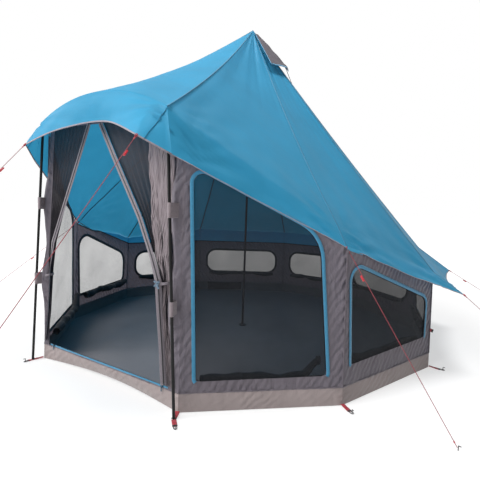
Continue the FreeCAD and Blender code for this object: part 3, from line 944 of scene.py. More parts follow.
def window_sheet(sheet, side, sag):
    """The mesh of one window, a little slack, in rings round its middle."""
    window, radii = window_outline(side)
    edge = rounded(window, radii)
    centre = middle_of(window)

    def mesh_point(share, turn):
        u, z = centre.lerp(ray_exit(edge, centre, turn), share * 1.012)
        slack = noise.noise(Vector((u * 2.6 + side, z * 1.7, 4.4))) * sag
        slack += noise.noise(Vector((u * 9 + z * 5, z * 3, side))) * sag * 0.25
        return on_wall(side, u, z, -0.0035 + slack * smooth(3 * (1 - share))), (u, z)

    sheet.grid(*patch(shares(12), circle(96), mesh_point))
    return outline_area(edge)


def make_windows(front_material, mid_material, other_material):
    """Mesh windows: four tall ones at the front, and the low ones round the back."""
    for side in TALL_WINDOWS + LOW_WINDOWS:
        name = SIDE_NAMES[side]
        tall = side in TALL_WINDOWS
        high, sag = (1.2, 0.006) if tall else (0.31, 0.004)
        sheet = Sheet()
        area = window_sheet(sheet, side, sag)
        material = {0: front_material, 1: mid_material}.get(side, other_material)
        piece = sheet.make("net_" + name, "mesh", material)
        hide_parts("window_mesh_" + (name if tall else "rear"))


TAPE_SHIFT = 0.011  # from the window's edge to the middle of its tape


def outline_path(side, edge, out):
    """The tape's path round a window, and the direction away from the window at each point."""
    centre = middle_of(edge)
    along = side_axes(side)[1]
    path, across = [], []
    for i, (u, z) in enumerate(edge):
        ahead, behind = Vector(edge[(i + 1) % len(edge)]), Vector(edge[i - 1])
        tangent = (ahead - behind).normalized()
        flat = Vector((tangent.y, -tangent.x))
        if flat.dot(Vector((u, z)) - centre) < 0:
            flat = -flat
        across.append(along * flat.x + UP * flat.y)
        place = on_wall(side, u, z, out + 0.25 * wall_creases(side, u, z))
        path.append(place + across[-1] * TAPE_SHIFT)
    return path, across


def make_window_trim(outer_material, inner_material):
    """Blue tape outside round each window but its bottom, and dark tape all round inside."""
    for side in range(9):
        edge = rounded(*window_outline(side))
        blue, dark = Sheet(), Sheet()
        path, across = outline_path(side, edge, 0.0060)
        tape(blue, path[24:] + path[:5], across[24:] + across[:5], 0.024, 0.0022)
        path, across = outline_path(side, edge, -0.006)
        tape(dark, path + path[:1], across + across[:1], 0.030, 0.0022, closed=True)
        blue.make("window_tape_" + SIDE_NAMES[side], "zip_tape", outer_material)
        dark.make("window_inner_tape_" + SIDE_NAMES[side], "cover_cloth", inner_material)


def make_valance(material, piping_material):
    """Blue cloth from the low walls up to the fly, in a blue lightened with painted light, and a
    dark seam inside on the walls' tops.
    """
    band, piping = Sheet(), Sheet()
    for side in range(9):
        length = side_length(side)
        outward = side_axes(side)[2]
        columns = [length * k / 40 for k in range(41)]
        low = [on_wall(side, u, seam_height(side, u) - 0.004, -0.002) for u in columns]
        tape(piping, [p - outward * 0.005 for p in low], UP, 0.012, 0.003)
        if 0 < side < 8:
            tops = [wall_top(side, u) + 0.024 * beyond_fly[side][k] for k, u in enumerate(columns)]
            high = [on_wall(side, u, max(top, seam_height(side, u) + 0.001), -0.002)
                    for u, top in zip(columns, tops)]
            rows = [[a.lerp(b, k / 5) for a, b in zip(low, high)] for k in range(6)]
            band.grid(rows, places_of(rows))
    piece = band.make("fly_valance", "fly_cloth", material)
    piping.make("wall_seam_piping", "cover_cloth", piping_material)


def make_corner_seams(material):
    """Felled seams down the corners between the walls."""
    sheet = Sheet()
    for corner in range(1, 9):
        outward = (side_axes(corner - 1)[2] + side_axes(corner)[2]).normalized()
        across = Vector((-outward.y, outward.x, 0))
        top = seam_height(corner, 0)
        path = [on_wall(corner, 0, TUB_HEIGHT + (top - TUB_HEIGHT) * k / 30) + outward * 0.0015
                for k in range(31)]
        tape(sheet, path, across, 0.016, 0.0025)
    sheet.make("wall_corner_seams", "wall_cloth", material)


# ---- floor -------------------------------------------------------------------------------------

def tub_point(side, u, z):
    """A point of the tub's side, which bellies a little and is pinched in at the corners."""
    length = side_length(side)
    edge = min(u, length - u)
    belly = 0.005 * math.sin(math.pi * z / TUB_HEIGHT) * smooth(edge / 0.2)
    pulls = 0.0035 * math.sin(60 * math.atan2(z + 0.01, edge + 0.02)) * math.exp(-edge / 0.15)
    waves = noise.noise(Vector((u * 5 + side * 3, z * 7, 2.2))) * 0.004
    held = smooth(min(1.0, edge / 0.02, z / 0.02 + 0.1))
    point = on_wall(side, u, z, (belly + pulls + waves) * held)
    if side == DOOR:
        bow = math.sin(math.pi * u / length) * (1 - z / TUB_HEIGHT) ** 1.3
        point += Vector((0, 0.060 * bow, 0.016 * bow))
    return point


def make_tub(outer_material, inner_material, seam_material):
    """The waterproof sides of the groundsheet, as one band with an outside and an inside."""
    outer, seam = Sheet(), Sheet()
    for side in range(10):
        length = side_length(side)
        columns = [length * k / 60 for k in range(61)]
        heights = [0.0015 + (TUB_HEIGHT - 0.0015) * k / 12 for k in range(13)]
        rows = [[tub_point(side, u, z) for u in columns] for z in heights]
        places = [[(u + side * 1.3, z) for u in columns] for z in heights]
        outer.grid(rows, places)
        outward = side_axes(side)[2]
        inside = [[p - outward * 0.0022 for p in row] for row in rows]
        outer.grid(inside, places, 1)
        tape(seam, [p + outward * 0.001 for p in rows[-1]], UP, 0.010, 0.0022)
    tub = outer.make("tub_cloth", "tub", outer_material, inner_material)
    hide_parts("tub_wall")
    seam.make("tub_seam", "tub", seam_material)


def make_groundsheet(material):
    """The floor, with soft wrinkles between its taut corners."""
    spokes = 20
    rim = [PLAN[side].lerp(PLAN[(side + 1) % 10], k / spokes) for side in range(10)
           for k in range(spokes)]

    def floor_point(share, end):
        point = end * (share * 0.9995)
        drawn = 0.0
        if point.y < -1.0 and abs(point.x) < -0.4 * point.y:
            bow = math.cos(math.pi * point.x / (-0.8 * point.y))
            drawn = bow * smooth((share - 0.6) / 0.4)
            point.y += 0.060 * drawn
        rise = noise.noise(point * 1.5) * 0.005
        rise += noise.noise(point * 4.5 + Vector((9, 0, 0))) * 0.004
        slack = smooth(6 * (1 - share)) * smooth((point.length - 0.05) / 0.25)
        point.z = 0.0016 + max(0.0, rise) * slack + 0.016 * drawn
        return point, (point.x, point.y)

    sheet = Sheet()
    sheet.grid(*patch(shares(46), rim + rim[:1], floor_point))
    floor = sheet.make("groundsheet_cloth", "groundsheet", material)
    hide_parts("groundsheet")


# ---- door --------------------------------------------------------------------------------------

# The edges of what hangs at the door's right side: height, then left edge, right edge, fold depth.
RIGHT_NET = ((1.838, (0.640, -0.060, 0.002)), (1.600, (0.640, 0.095, 0.004)),
             (1.200, (0.630, 0.370, 0.010)), (0.960, (0.620, 0.500, 0.017)),
             (0.810, (0.620, 0.570, 0.023)), (0.640, (0.640, 0.590, 0.022)),
             (0.400, (0.655, 0.620, 0.020)), (0.160, (0.668, 0.645, 0.018)))
LEFT_NET = ((1.838, (-0.630, -0.216, 0.002)), (1.600, (-0.645, -0.322, 0.004)),
            (1.200, (-0.655, -0.505, 0.009)), (0.960, (-0.660, -0.610, 0.014)),
            (0.760, (-0.668, -0.642, 0.014)), (0.600, (-0.672, -0.650, 0.014)),
            (0.400, (-0.680, -0.660, 0.013)), (0.160, (-0.705, -0.690, 0.012)))
RIGHT_PANEL = ((1.838, (0.640, 0.415, 0.006)), (1.600, (0.642, 0.425, 0.007)),
               (1.200, (0.650, 0.465, 0.009)), (0.960, (0.655, 0.515, 0.012)),
               (0.800, (0.662, 0.585, 0.016)), (0.640, (0.672, 0.600, 0.016)),
               (0.400, (0.688, 0.630, 0.015)), (0.160, (0.702, 0.655, 0.014)))
HALF_DOOR = 0.66
DOOR_HIGH, DOOR_LOW = 1.838, 0.160


def gathered(levels, folds, out, phase, crumple):
    """Rows of a curtain that is drawn together at a tie and hangs in folds or crumpled."""

    def curtain_point(z, t):
        hinge, free, depth = between(levels, z)
        wave = math.sin(2 * math.pi * folds * t + phase + 0.5 * math.sin(3 * z + 5 * t))
        wander = noise.noise(Vector((t * 6, z * 1.3, phase))) * 0.5 * depth
        large = Vector((t * 3.2 + z * 2.4, z * 3.1 - t, phase))
        small = Vector((t * 7 - z * 9, z * 9 + t * 3, phase + 4))
        wander += crumple * 0.016 * noise.noise(large)
        wander += crumple * 0.012 * noise.noise(small)
        point = on_door(hinge + (free - hinge) * t, z, out + wave * (1 - crumple) * depth + wander)
        return point, (t * HALF_DOOR, DOOR_HIGH - z)

    heights = [DOOR_HIGH + (DOOR_LOW - DOOR_HIGH) * i / 110 for i in range(111)]
    return patch(heights, shares(max(60, folds * 10)), curtain_point)


def make_curtain(name, node_name, levels, folds, out, phase, slot, material, crumple=0.0):
    """One hanging cloth of the door, which stands for a CAD node if it's given one."""
    sheet = Sheet()
    sheet.grid(*gathered(levels, folds, out, phase, crumple))
    piece = sheet.make(name, slot, material)
    if node_name:
        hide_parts(node_name)


BORDER_GAP = 0.010  # from the folds' crests to the border


def door_border(sheet, line, levels, width, side):
    """The zip border down a curtain's free edge: two tapes with the zip's teeth between them."""
    heights = [DOOR_HIGH + (DOOR_LOW - DOOR_HIGH) * k / 80 for k in range(81)]
    path = []
    for z in heights:
        _, free, depth = between(levels, z)
        path.append(on_door(free - side * width * 0.35, z, depth + BORDER_GAP))
    across = []
    for i in range(81):
        tangent = (path[min(i + 1, 80)] - path[max(i - 1, 0)]).normalized()
        turn = 0.7 * smooth((1.0 - heights[i]) / 0.3)
        normal = Vector((side * math.sin(turn), -math.cos(turn), 0))
        across.append(tangent.cross(normal).normalized())
    tape(sheet, path, across, width, 0.0025)
    front = [p + Vector((0, -0.0028, 0)) for p in path]
    tape(line, front, across, 0.007, 0.003)


def make_door(net_material, panel_material, border_material, zip_material, wall_material,
              tie_material, tape_material):
    """The door's two mesh halves, tied back, and the cloth and zips round them."""
    make_curtain("door_net_right", "door_mesh_right", RIGHT_NET, 9, 0.0, 0.4, "mesh",
                 net_material)
    make_curtain("door_net_left", "door_mesh_left", LEFT_NET, 8, 0.0, 1.1, "mesh",
                 net_material)
    make_curtain("door_panel_right", None, RIGHT_PANEL, 4, 0.022, 2.0, "wall_cloth",
                 panel_material, 0.75)
    border, line = Sheet(), Sheet()
    door_border(border, line, RIGHT_NET, 0.044, 1)
    door_border(border, line, LEFT_NET, 0.040, -1)
    border.make("door_zip_borders", "wall_cloth", border_material)
    line.make("door_zip_lines", "zip_metal", zip_material)
    make_posts(wall_material)
    make_header(wall_material)
    make_ties(tie_material, border_material)
    make_sill_zip(tape_material, zip_material)


# The strips beside the door: height, then the inner edge and how far they are drawn forward to the
# poles by the tabs.
POST_EDGES = ((1.830, (0.632, 0.000)), (1.550, (0.640, 0.010)), (1.300, (0.644, 0.046)),
              (1.230, (0.644, 0.046)), (0.950, (0.650, 0.018)), (0.710, (0.650, 0.050)),
              (0.630, (0.650, 0.050)), (0.400, (0.655, 0.020)), (0.127, (0.662, 0.004)))
POST_TOP, POST_LOW = 1.830, 0.127
POST_HIDDEN = 0.045  # how far the right strip goes on behind the gathered panel


def post_point(way, z, share):
    """A point of the strip on one side of the door, from its inner edge to the corner."""
    near, pulled = between(POST_EDGES, z)
    if way > 0:
        near -= POST_HIDDEN
    far = 0.731 - 0.010 * z
    crest = smooth(share / 0.62) if share < 0.62 else smooth((1 - share) / 0.38)
    fold = noise.noise(Vector((share * 6, z * 2.6, way))) * 0.010
    fold += noise.noise(Vector((share * 14 + z * 6, z * 5.0, way))) * 0.006
    rise = fold * math.sin(math.pi * share) + pulled * crest
    x = near + (far - near) * share
    low = 0.055 * smooth((share - 0.45) / 0.4) * (z - POST_LOW) / (POST_TOP - POST_LOW)
    return on_door(way * x, z - low, rise), (x, z - low)


def make_posts(material):
    """The strips of wall cloth beside the door, from the zips to the corners."""
    sheet = Sheet()
    heights = [POST_TOP + (POST_LOW - POST_TOP) * i / 80 for i in range(81)]
    for way in (1, -1):
        sheet.grid(*patch(heights, shares(16), lambda z, share: post_point(way, z, share)))
    posts = sheet.make("door_post_cloth", "wall_cloth", material)
    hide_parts("door_posts")


def make_header(material):
    """The cloth that closes the arch over the door."""
    def header_point(i, k):
        x = 0.640 * (1 - k / 20)
        low, high = 1.836, arch_height(x) - 0.012
        z = low + max(0.004, high - low) * i / 8
        fold = noise.noise(Vector((x * 8, z * 3, 0.5))) * 0.004 * math.sin(math.pi * i / 8)
        return on_door(x, z, fold), (x, z)

    sheet = Sheet()
    sheet.grid(*patch(range(9), range(41), header_point))
    header = sheet.make("door_header_cloth", "wall_cloth", material)
    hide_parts("door_header")


def make_ties(knot_material, band_material):
    """A band tied round each gathered curtain, with a small bow at the right one."""
    bands, bow = Sheet(), Sheet()
    for centre_x, z, wide, deep in ((0.596, 0.805, 0.046, 0.040), (-0.655, 0.700, 0.034, 0.030)):
        path = [on_door(centre_x, z + 0.006 * math.sin(turn + 1), 0.012)
                + Vector((wide * math.cos(turn), deep * math.sin(turn), 0)) for turn in circle(32)]
        tape(bands, path, UP, 0.018, 0.0022, closed=True)
    knot = on_door(0.575, 0.806, 0.058)
    for lean, drop in ((0.016, -0.034), (-0.018, -0.026), (0.022, 0.010), (-0.020, 0.012)):
        end = knot + Vector((lean, -0.008, drop))
        steps = [knot.lerp(end, k / 6) + Vector((0, -0.007 * math.sin(math.pi * k / 6), 0))
                 for k in range(7)]
        tape(bow, steps, Vector((1, 0.2, -0.5 * lean)), 0.015, 0.0018)
    round_bar(bow, [knot + Vector((k * 0.005 - 0.0125, -0.003, 0)) for k in range(6)],
              [0.003, 0.008, 0.011, 0.011, 0.008, 0.003])
    bands.make("door_tie_bands", "wall_cloth", band_material)
    bow.make("door_tie_bow", "zip_tape", knot_material)


TEETH = 256


def make_sill_zip(tape_material, teeth_material):
    """The zip along the top of the sill: its tape and a row of separate teeth."""
    band, teeth = Sheet(), Sheet()
    middle = TUB_HEIGHT + 0.0105
    path = [on_door(-0.640 + 1.280 * k / 60, middle, 0.001) for k in range(61)]
    tape(band, path, UP, 0.016, 0.0016)
    piece = band.make("sill_zip_tape", "zip_tape", tape_material)
    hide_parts("door_zip")
    for k in range(TEETH):
        x = -0.636 + 1.272 * k / (TEETH - 1)
        z = TUB_HEIGHT + 0.0185 + (0.0006 if k % 2 else -0.0006)
        start = on_door(x, z - 0.002, 0.0022)
        end = on_door(x, z + 0.002, 0.0022)
        tape(teeth, [start, end], Vector((1, 0, 0)), 0.0028, 0.0012)
    teeth.make("sill_zip_teeth", "zip_metal", teeth_material)


# ---- inside ------------------------------------------------------------------------------------

def blind_rows(side, phase):
    """A blind rolled down under its window, as rings along it, with the rings' texture places."""
    outline = window_outline(side)[0]
    low = 0.5 * (outline[0][1] + outline[1][1]) - 0.014
    first = outline[0][0] + 0.03
    span = outline[1][0] - 0.03 - first
    thick = 0.040 if side in TALL_WINDOWS else 0.029
    inward = -side_axes(side)[2]
    rows, places = [], []
    for share in shares(60):
        tied = abs(math.sin(math.pi * 3 * share))
        radius = thick * (0.66 + 0.34 * tied + 0.40 * noise.noise(Vector((share * 7, side, 0))))
        sway = 0.008 * math.sin(9 * share + phase)
        centre = on_wall(side, first + span * share, low + sway, -1.30 * thick - 0.006)
        centre.z -= 0.008 * tied
        if side in (0, 8):
            rear = share if side == 0 else 1 - share
            centre.z += 0.100 * smooth((rear - 0.84) / 0.16)
        row = []
        for k, turn in enumerate(circle(24)):
            rough = Vector((share * 14, math.cos(turn), math.sin(turn) + side))
            spiral = radius * (1 - 0.10 * k / 24) + 0.003 * noise.noise(rough)
            row.append(centre + inward * (spiral * math.cos(turn)) + UP * (spiral * math.sin(turn)))
        rows.append(row)
        places.append([(0.03 * turn, span * share) for turn in circle(24)])
    return rows, places


def make_covers(material, tie_material):
    """The window blinds, rolled down and tied under their windows."""
    for side in range(9):
        random.seed(side)
        rows, places = blind_rows(side, random.uniform(0, 6))
        sheet, ties = Sheet(), Sheet()
        sheet.grid(rows, places)
        for end in (rows[0], rows[-1][::-1]):
            sheet.face(end[:-1], [(0.0, 0.0)] * 24)
        for share in (0.02, 1 / 3, 2 / 3, 0.98):
            ring = rows[round(share * 60)]
            middle = sum(ring[:24], Vector()) / 24
            path = [middle + (p - middle) * 1.10 for p in ring]
            tape(ties, path, side_axes(side)[1], 0.016, 0.0016, closed=True)
        roll = sheet.make("blind_" + SIDE_NAMES[side], "cover_cloth", material)
        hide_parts("window_covers")
        ties.make("blind_ties_" + SIDE_NAMES[side], "cover_cloth", tie_material)


def make_pocket(material, binding_material):
    """A flat pocket sewn low on the wall opposite the door's right side."""
    side, start, width, low, high = 5, 0.62, 0.50, 0.012, 0.118

    def pocket_point(i, share):
        z = low + (high - low) * i / 8
        swell = 0.014 * math.sin(math.pi * share) ** 0.6 * (0.4 + 0.6 * i / 8)
        swell += 0.003 * noise.noise(Vector((share * 7, i * 0.4, 8)))
        return on_wall(side, start + width * share, z, -0.006 - swell), (width * share, z)

    sheet, edge = Sheet(), Sheet()
    rows, places = patch(range(9), shares(30), pocket_point)
    sheet.grid(rows, places)
    pocket = sheet.make("wall_pocket", "cover_cloth", material)
    tape(edge, rows[-1], UP, 0.012, 0.0022)
    edge.make("wall_pocket_binding", "cover_cloth", binding_material)


# ---- vent --------------------------------------------------------------------------------------

def opened(point):
    """Turns a point of the closed hood up to where the strut holds it."""
    gap = point - VENT_PIVOT
    return VENT_PIVOT + Matrix.Rotation(-VENT_OPEN, 3, "Y") @ gap


def hood_point(share, reach):
    """share is from -1 to 1 between the ridges beside the hood, reach is down along them."""
    directions = [hung(APEX, RIDGES[c][0], 0.5, SAGS[c]) - APEX for c in (1, 2, 3)]
    beside = directions[0] if share < 0 else directions[2]
    flat = directions[1] * (1 - abs(share)) + beside * abs(share)
    arch = 0.012 * (1 - share * share) * min(1.0, reach / 0.2)
    return opened(APEX + flat * reach + VENT_LIFT + Vector((0.5 * arch, 0, arch)))


def hood_cloth_point(share, reach):
    """A point of the hood's cloth, which is longer at the left and ripples in its middle."""
    longer = 1 + 0.16 * max(0.0, -share) - 0.07 * max(0.0, share + 0.1)
    point = hood_point(share, reach * (1 + (longer - 1) * reach / VENT_REACH))
    wave = noise.noise(point * 14) * 0.003 * (1 - abs(share)) * 2
    return point + Vector((0.5, 0, 0.8)) * wave


def make_hood(cloth, trim, stitch):
    """The hood over the vent, domed between its bound edges, with a corded hem at the hinge."""
    columns = [-0.94 + 1.88 * k / 30 for k in range(31)]
    reaches = [0.06 + (VENT_REACH - 0.06) * k / 24 for k in range(25)]
    rows = [[hood_cloth_point(share, reach) for share in columns] for reach in reaches]
    sheet, edge, seam = Sheet(), Sheet(), Sheet()
    sheet.grid(rows, places_of(rows))
    hood = sheet.make("vent_hood_cloth", "hood_cloth", cloth, body="vent_hood")
    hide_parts("vent_hood")
    rim = [row[0] for row in rows] + rows[-1][1:] + [row[-1] for row in reversed(rows[:-1])]
    ways = [Vector((0, 1, 0))] * 25 + [Vector((0.6, 0, -0.8))] * 30 + [Vector((0, 1, 0))] * 24
    tape(edge, rim[:25], ways[:25], 0.014, 0.003)
    tape(edge, rim[24:55], ways[24:55], 0.016, 0.003)
    tape(edge, rim[54:], ways[54:], 0.014, 0.003)
    edge.make("vent_hood_binding", "zip_tape", trim, body="vent_hood")
    middle = [row[15] + Vector((0.001, 0, 0.0012)) for row in rows]
    tape(seam, middle, Vector((0, 1, 0)), 0.010, 0.0014)
    cord = [rows[0][0].lerp(rows[0][-1], k / 12) for k in range(13)]
    round_bar(seam, cord, 0.004)
    seam.make("vent_hood_seams", "hood_cloth", stitch, body="vent_hood")


# ---- straps ------------------------------------------------------------------------------------

def floor_pegs():
    """Where each floor corner is pegged."""
    places = [p + p.normalized() * STRAP_REACH for p in PLAN]
    places[0] = Vector((0.843, -1.972, 0))
    places[9] = Vector((-0.762, -1.962, 0))
    return places


def make_straps(red, black, metal):
    """Webbing at the floor corners: a red strap, a black loop over the peg and a metal eye."""
    straps, loops, eyes = Sheet(), Sheet(), Sheet()
    for corner, peg in enumerate(floor_pegs()):
        start = PLAN[corner].copy()
        front = corner in (0, 9)
        foot = UPRIGHT_FOOT if corner == 0 else mirrored(UPRIGHT_FOOT)
        route = [start, foot, peg] if front else [start, peg]
        for a, b in zip(route, route[1:]):
            way = (b - a).normalized()
            across = Vector((-way.y, way.x, 0))
            stop = (b - a).length - (0.0 if front and b is foot else 0.022)
            path = []
            for k in range(15):
                share = k / 14
                rise = 0.0022 + 0.010 * (1 - share) ** 2 * (a is start)
                rise += 0.002 * math.sin(math.pi * share)
                path.append(a + way * (0.004 + (stop - 0.004) * share) + UP * rise)
            tape(straps, path, across, 0.030, 0.0018)
            tape(straps, path[7:13], across, 0.029, 0.0018, lift=0.0020)
            tape(loops, path[12:], across, 0.031, 0.0018, lift=0.0024)
        way = (route[-1] - route[-2]).normalized()
        across = Vector((-way.y, way.x, 0))
        centre = peg + UP * 0.0045
        ring = [centre + way * (0.020 * math.cos(turn) - 0.008) + across * (0.010 * math.sin(turn))
                for turn in circle(24)]
        round_bar(loops, ring, 0.0026, ends=False, sides=8)
        if front:
            eye = [foot + Vector((0.0070 * math.cos(turn), 0.0070 * math.sin(turn), 0.0042))
                   for turn in circle(24)]
            round_bar(eyes, eye, 0.0014, ends=False, sides=8)
    for corner in (2, 7):
        start = on_wall(corner, 0, 0.320)
        way = PLAN[corner].normalized()
        path = [start + way * (0.004 * k - 0.004) - Vector((0, 0, 0.0012 * k)) for k in range(8)]
        tape(straps, path, UP, 0.026, 0.0018)
        tape(loops, path[4:], UP, 0.028, 0.0030)
    piece = straps.make("peg_webbing", "red_webbing", red)
    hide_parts("peg_straps")
    loops.make("peg_loops", "black_plastic", black)
    eyes.make("strap_eyes", "peg_steel", metal)


def upright_point(z):
    """A point of the right upright's centre line."""
    return UPRIGHT_FOOT.lerp(UPRIGHT_TOP, z / UPRIGHT_TOP.z)


TAB_HEIGHTS = (0.670, 1.260)
TAB_BEND = 0.0125  # from the pole's centre line to the webbing that is wrapped round it


def tab_path(z):
    """From the wall's corner round the right upright and back, at one height."""
    pole = upright_point(z)
    corner = on_door(0.695, z, 0.002)
    reach = Vector((pole.x - corner.x, pole.y - corner.y, 0))
    along = reach.normalized()
    side = Vector((-along.y, along.x, 0))
    straight = along * (reach.length - TAB_BEND)
    path = [corner + straight * share - side * TAB_BEND * share for share in shares(6)]
    path += [pole + along * (0.0128 * math.cos(a)) + side * (0.0128 * math.sin(a))
             for a in [math.pi * (share - 0.5) for share in shares(10)]]
    path += [corner + (straight + side * TAB_BEND) * (1 - share) for share in shares(6)[1:]]
    return path


def make_pole_tabs(material):
    """Grey webbing that is wrapped round each upright and holds the wall to it."""
    sheet = Sheet()
    for way in (1, -1):
        for z in TAB_HEIGHTS:
            tape(sheet, [Vector((way * p.x, p.y, z)) for p in tab_path(z)], UP, 0.090, 0.0016)
    tabs = sheet.make("pole_tab_webbing", "grey_webbing", material)
    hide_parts("pole_tabs")


def make_tip_loops(red):
    """Short red loops at the fly's guyed tips, which the guy lines are tied to."""
    sheet = Sheet()
    for _, tip, end in GUYS:
        along = (end - tip).normalized()
        across = along.cross(Vector((0, 0, 1))).normalized()
        path = [tip + along * (0.013 * math.cos(a) + 0.004) + across * (0.006 * math.sin(a))
                for a in [2 * math.pi * k / 16 for k in range(17)]]
        upward = across.cross(along)
        tape(sheet, path, upward, 0.010, 0.0014, closed=True)
    sheet.make("guy_tip_loops", "red_webbing", red)


# ---- CAD nodes that stay -----------------------------------------------------------------------

def repaint(names, material):
    """Gives CAD nodes that are shown as they are a material."""
    for name in names:
        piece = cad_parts[name]
        if not piece.material_slots:
            piece.data.materials.append(material)
        for slot in piece.material_slots:
            slot.material = material


# ---- the scene ---------------------------------------------------------------------------------

FLOOR_REACH = 60.0


def make_studio():
    """A white room, dimmer overhead and at the right, a pale ground that glows with painted light,
    and three soft lights.
    """
    world = bpy.data.worlds.new("studio")
    world.use_nodes = True
    tree = world.node_tree
    way = node(tree, "ShaderNodeTexCoord").outputs["Generated"]
    parts = node(tree, "ShaderNodeSeparateXYZ", None, {0: way}).outputs
    light = maths(tree, "MULTIPLY", ranged(tree, parts[2], 0.30, 0.75, 1.0, 0.35),
                  ranged(tree, parts[0], 0.05, 0.50, 1.0, 0.12))
    seen = node(tree, "ShaderNodeLightPath").outputs["Is Camera Ray"]
    tree.links.new(maths(tree, "MAXIMUM", light, seen), tree.nodes["Background"].inputs[1])
    tree.nodes["Background"].inputs[0].default_value = (1.0, 1.0, 1.0, 1)
    bpy.context.scene.world = world
    bpy.context.scene.view_settings.view_transform = "Standard"
    data = bpy.data.meshes.new("studio_floor")
    corners = [(x * FLOOR_REACH, y * FLOOR_REACH, -0.001)
               for x, y in ((-1, -1), (1, -1), (1, 1), (-1, 1))]
    data.from_pydata(corners, [], [(0, 1, 2, 3)])
    data.materials.append(floor_material())
    placed("studio_floor", data)
    area_light("front", (-1.7, -7.4, 6.0), (0, 0, 1), 6.0, 700)
    area_light("left", (-6.3, -2.6, 5.6), (0, -1, 1.5), 5.0, 55)
    area_light("top", (1.4, -0.6, 9.0), (0, 0, 1), 3.0, 520)


def make_roof(dark_tape):
    """The fly with its seams; the walls' tops are found under it."""
    fly_blue = cloth_material("fly_blue", (0.038, 0.318, 0.536), through=0.34, fold=0.6,
                              sheen=0.05, streaks=(2.0, 7.0), streak_turn=0.5,
                              streak_depth=0.009)
    seam_blue = cloth_material("fly_seam_blue", (0.020, 0.160, 0.275), pitch=0.0016, rough=0.55)
    hem_grey = webbing_material("hem_binding_grey", (0.22, 0.19, 0.22), 0.0018)
    fly, canopy = make_fly(fly_blue)
    tree = surface_tree(fly)
    make_fly_trim(tree, canopy, seam_blue, hem_grey, dark_tape)
    find_wall_tops(tree)


def make_walls(wall_grey, blue_tape, dark_tape):
    """The walls, their windows, the blue cloth above them and the seams between them."""
    for side in range(9):
        make_wall(side, wall_grey)
    make_windows(mesh_material("net_dark", (0.010, 0.011, 0.014), 0.68),
                 mesh_material("net_darkest", (0.010, 0.011, 0.014), 0.80),
                 mesh_material("net_light", (0.04, 0.04, 0.04), 0.56))
    make_window_trim(blue_tape, dark_tape)
    # Painted light: the valance's blue is lighter than the fly's. It stands in for light through
    # the roof that the fly's eave keeps off this cloth.
    valance_blue_painted_light = cloth_material("valance_blue_painted_light", (0.062, 0.440, 0.700), fold=0.4, through=0.3)
    make_valance(valance_blue_painted_light, dark_tape)
    make_corner_seams(wall_grey)


def make_floor(wall_grey):
    """The waterproof floor and its sides."""
    tub_taupe = cloth_material("tub_taupe", (0.300, 0.252, 0.248), pitch=0.0016, rough=0.55,
                               fold=0.6, variation=0.14, streaks=(14.0, 4.0), streak_turn=0.9,
                               streak_depth=0.012, pucker=0.004)
    tub_inside = cloth_material("tub_inside", (0.200, 0.185, 0.185), pitch=0.0016, fold=0.6)
    make_tub(tub_taupe, tub_inside, wall_grey)
    make_groundsheet(cloth_material("groundsheet_slate", (0.215, 0.205, 0.215), pitch=0.0030,
                                    rough=0.42, variation=0.15, streaks=(2.0, 2.0),
                                    streak_depth=0.006))


def make_entrance(wall_grey, blue_tape):
    """The door with its materials."""
    door_net = mesh_material("door_net_dark", (0.024, 0.022, 0.027), 0.93)
    panel_grey = cloth_material("panel_grey", (0.235, 0.196, 0.212), through=0.12, fold=1.0,
                                rough=0.45, streaks=(30.0, 8.0), streak_turn=0.5,
                                streak_depth=0.016, pucker=0.006)
    border_grey = webbing_material("border_grey", (0.150, 0.130, 0.150), 0.0024)
    zip_dark = solid_material("zip_dark", (0.02, 0.02, 0.024), rough=0.35)
    tie_blue = webbing_material("tie_blue", (0.075, 0.130, 0.190), 0.0018)
    make_door(door_net, panel_grey, border_grey, zip_dark, wall_grey, tie_blue, blue_tape)


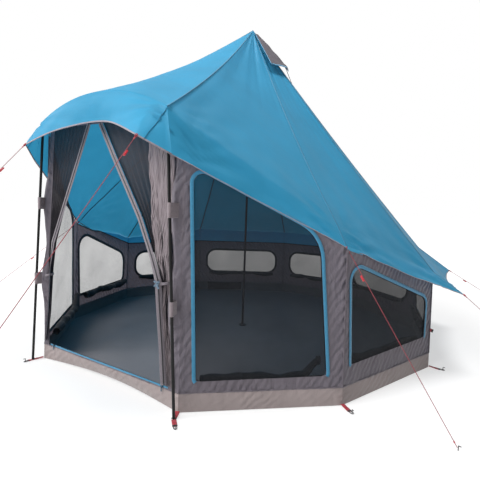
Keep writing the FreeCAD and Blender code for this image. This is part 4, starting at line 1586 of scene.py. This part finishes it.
def make_fittings(blue_tape, dark_tape):
    """Blinds, pocket, vent hood, straps, tabs and the painted CAD nodes."""
    cover_black = cloth_material("cover_black", (0.022, 0.023, 0.027), fold=1.0, rough=0.6,
                                 streaks=(12.0, 6.0), streak_depth=0.008)
    make_covers(cover_black, dark_tape)
    make_pocket(cover_black, dark_tape)
    hood_grey = cloth_material("hood_grey", (0.090, 0.078, 0.092), through=0.08, fold=0.6,
                               rough=0.45, sheen=0.08, streaks=(9.0, 9.0))
    make_hood(hood_grey, blue_tape, hood_grey)
    strap_red = webbing_material("strap_red", (0.34, 0.006, 0.022), 0.0022)
    black_rubber = solid_material("black_rubber", (0.015, 0.014, 0.016), rough=0.5)
    bare_steel = solid_material("bare_steel", (0.20, 0.20, 0.21), metal=1.0, rough=0.35)
    make_straps(strap_red, black_rubber, bare_steel)
    make_pole_tabs(webbing_material("tab_grey", (0.190, 0.155, 0.168), 0.0026))
    make_tip_loops(strap_red)
    pole_black = solid_material("pole_black", (0.004, 0.004, 0.0045), rough=0.34,
                                worn=(0.018, 0.018, 0.02), shine=0.25)
    repaint(["centre_pole_lower", "centre_pole_upper", "arch_pole", "upright_left_lower",
             "upright_left_upper", "upright_right_lower", "upright_right_upper"], pole_black)
    repaint(["centre_pole_foot", "vent_strut"], black_rubber)
    repaint(["pegs"], solid_material("peg_steel", (0.035, 0.030, 0.033), metal=0.8))
    repaint(["zip_slider_left", "zip_slider_right"],
            solid_material("slider_metal", (0.04, 0.10, 0.15), metal=0.6, rough=0.3))
    repaint(["runner_" + name for name, _, _ in GUYS],
            solid_material("runner_red", (0.50, 0.02, 0.035), rough=0.35))


def main():
    """Builds the scene in the order in which its pieces need each other."""
    make_camera()
    make_guys(webbing_material("guy_braid", (0.30, 0.018, 0.035), 0.0016),
              webbing_material("guy_knot", (0.42, 0.03, 0.05), 0.0014))
    make_studio()
    dark_tape = webbing_material("dark_tape", (0.012, 0.016, 0.022), 0.0018)
    blue_tape = webbing_material("blue_tape", (0.025, 0.20, 0.35), 0.0020)
    wall_grey = cloth_material("wall_grey", (0.180, 0.158, 0.184), through=0.24, fold=1.0,
                               rough=0.45, streaks=(16.0, 5.0), streak_turn=0.6,
                               streak_depth=0.022, pucker=0.008)
    make_roof(dark_tape)
    make_walls(wall_grey, blue_tape, dark_tape)
    make_floor(wall_grey)
    make_entrance(wall_grey, blue_tape)
    make_fittings(blue_tape, dark_tape)


main()
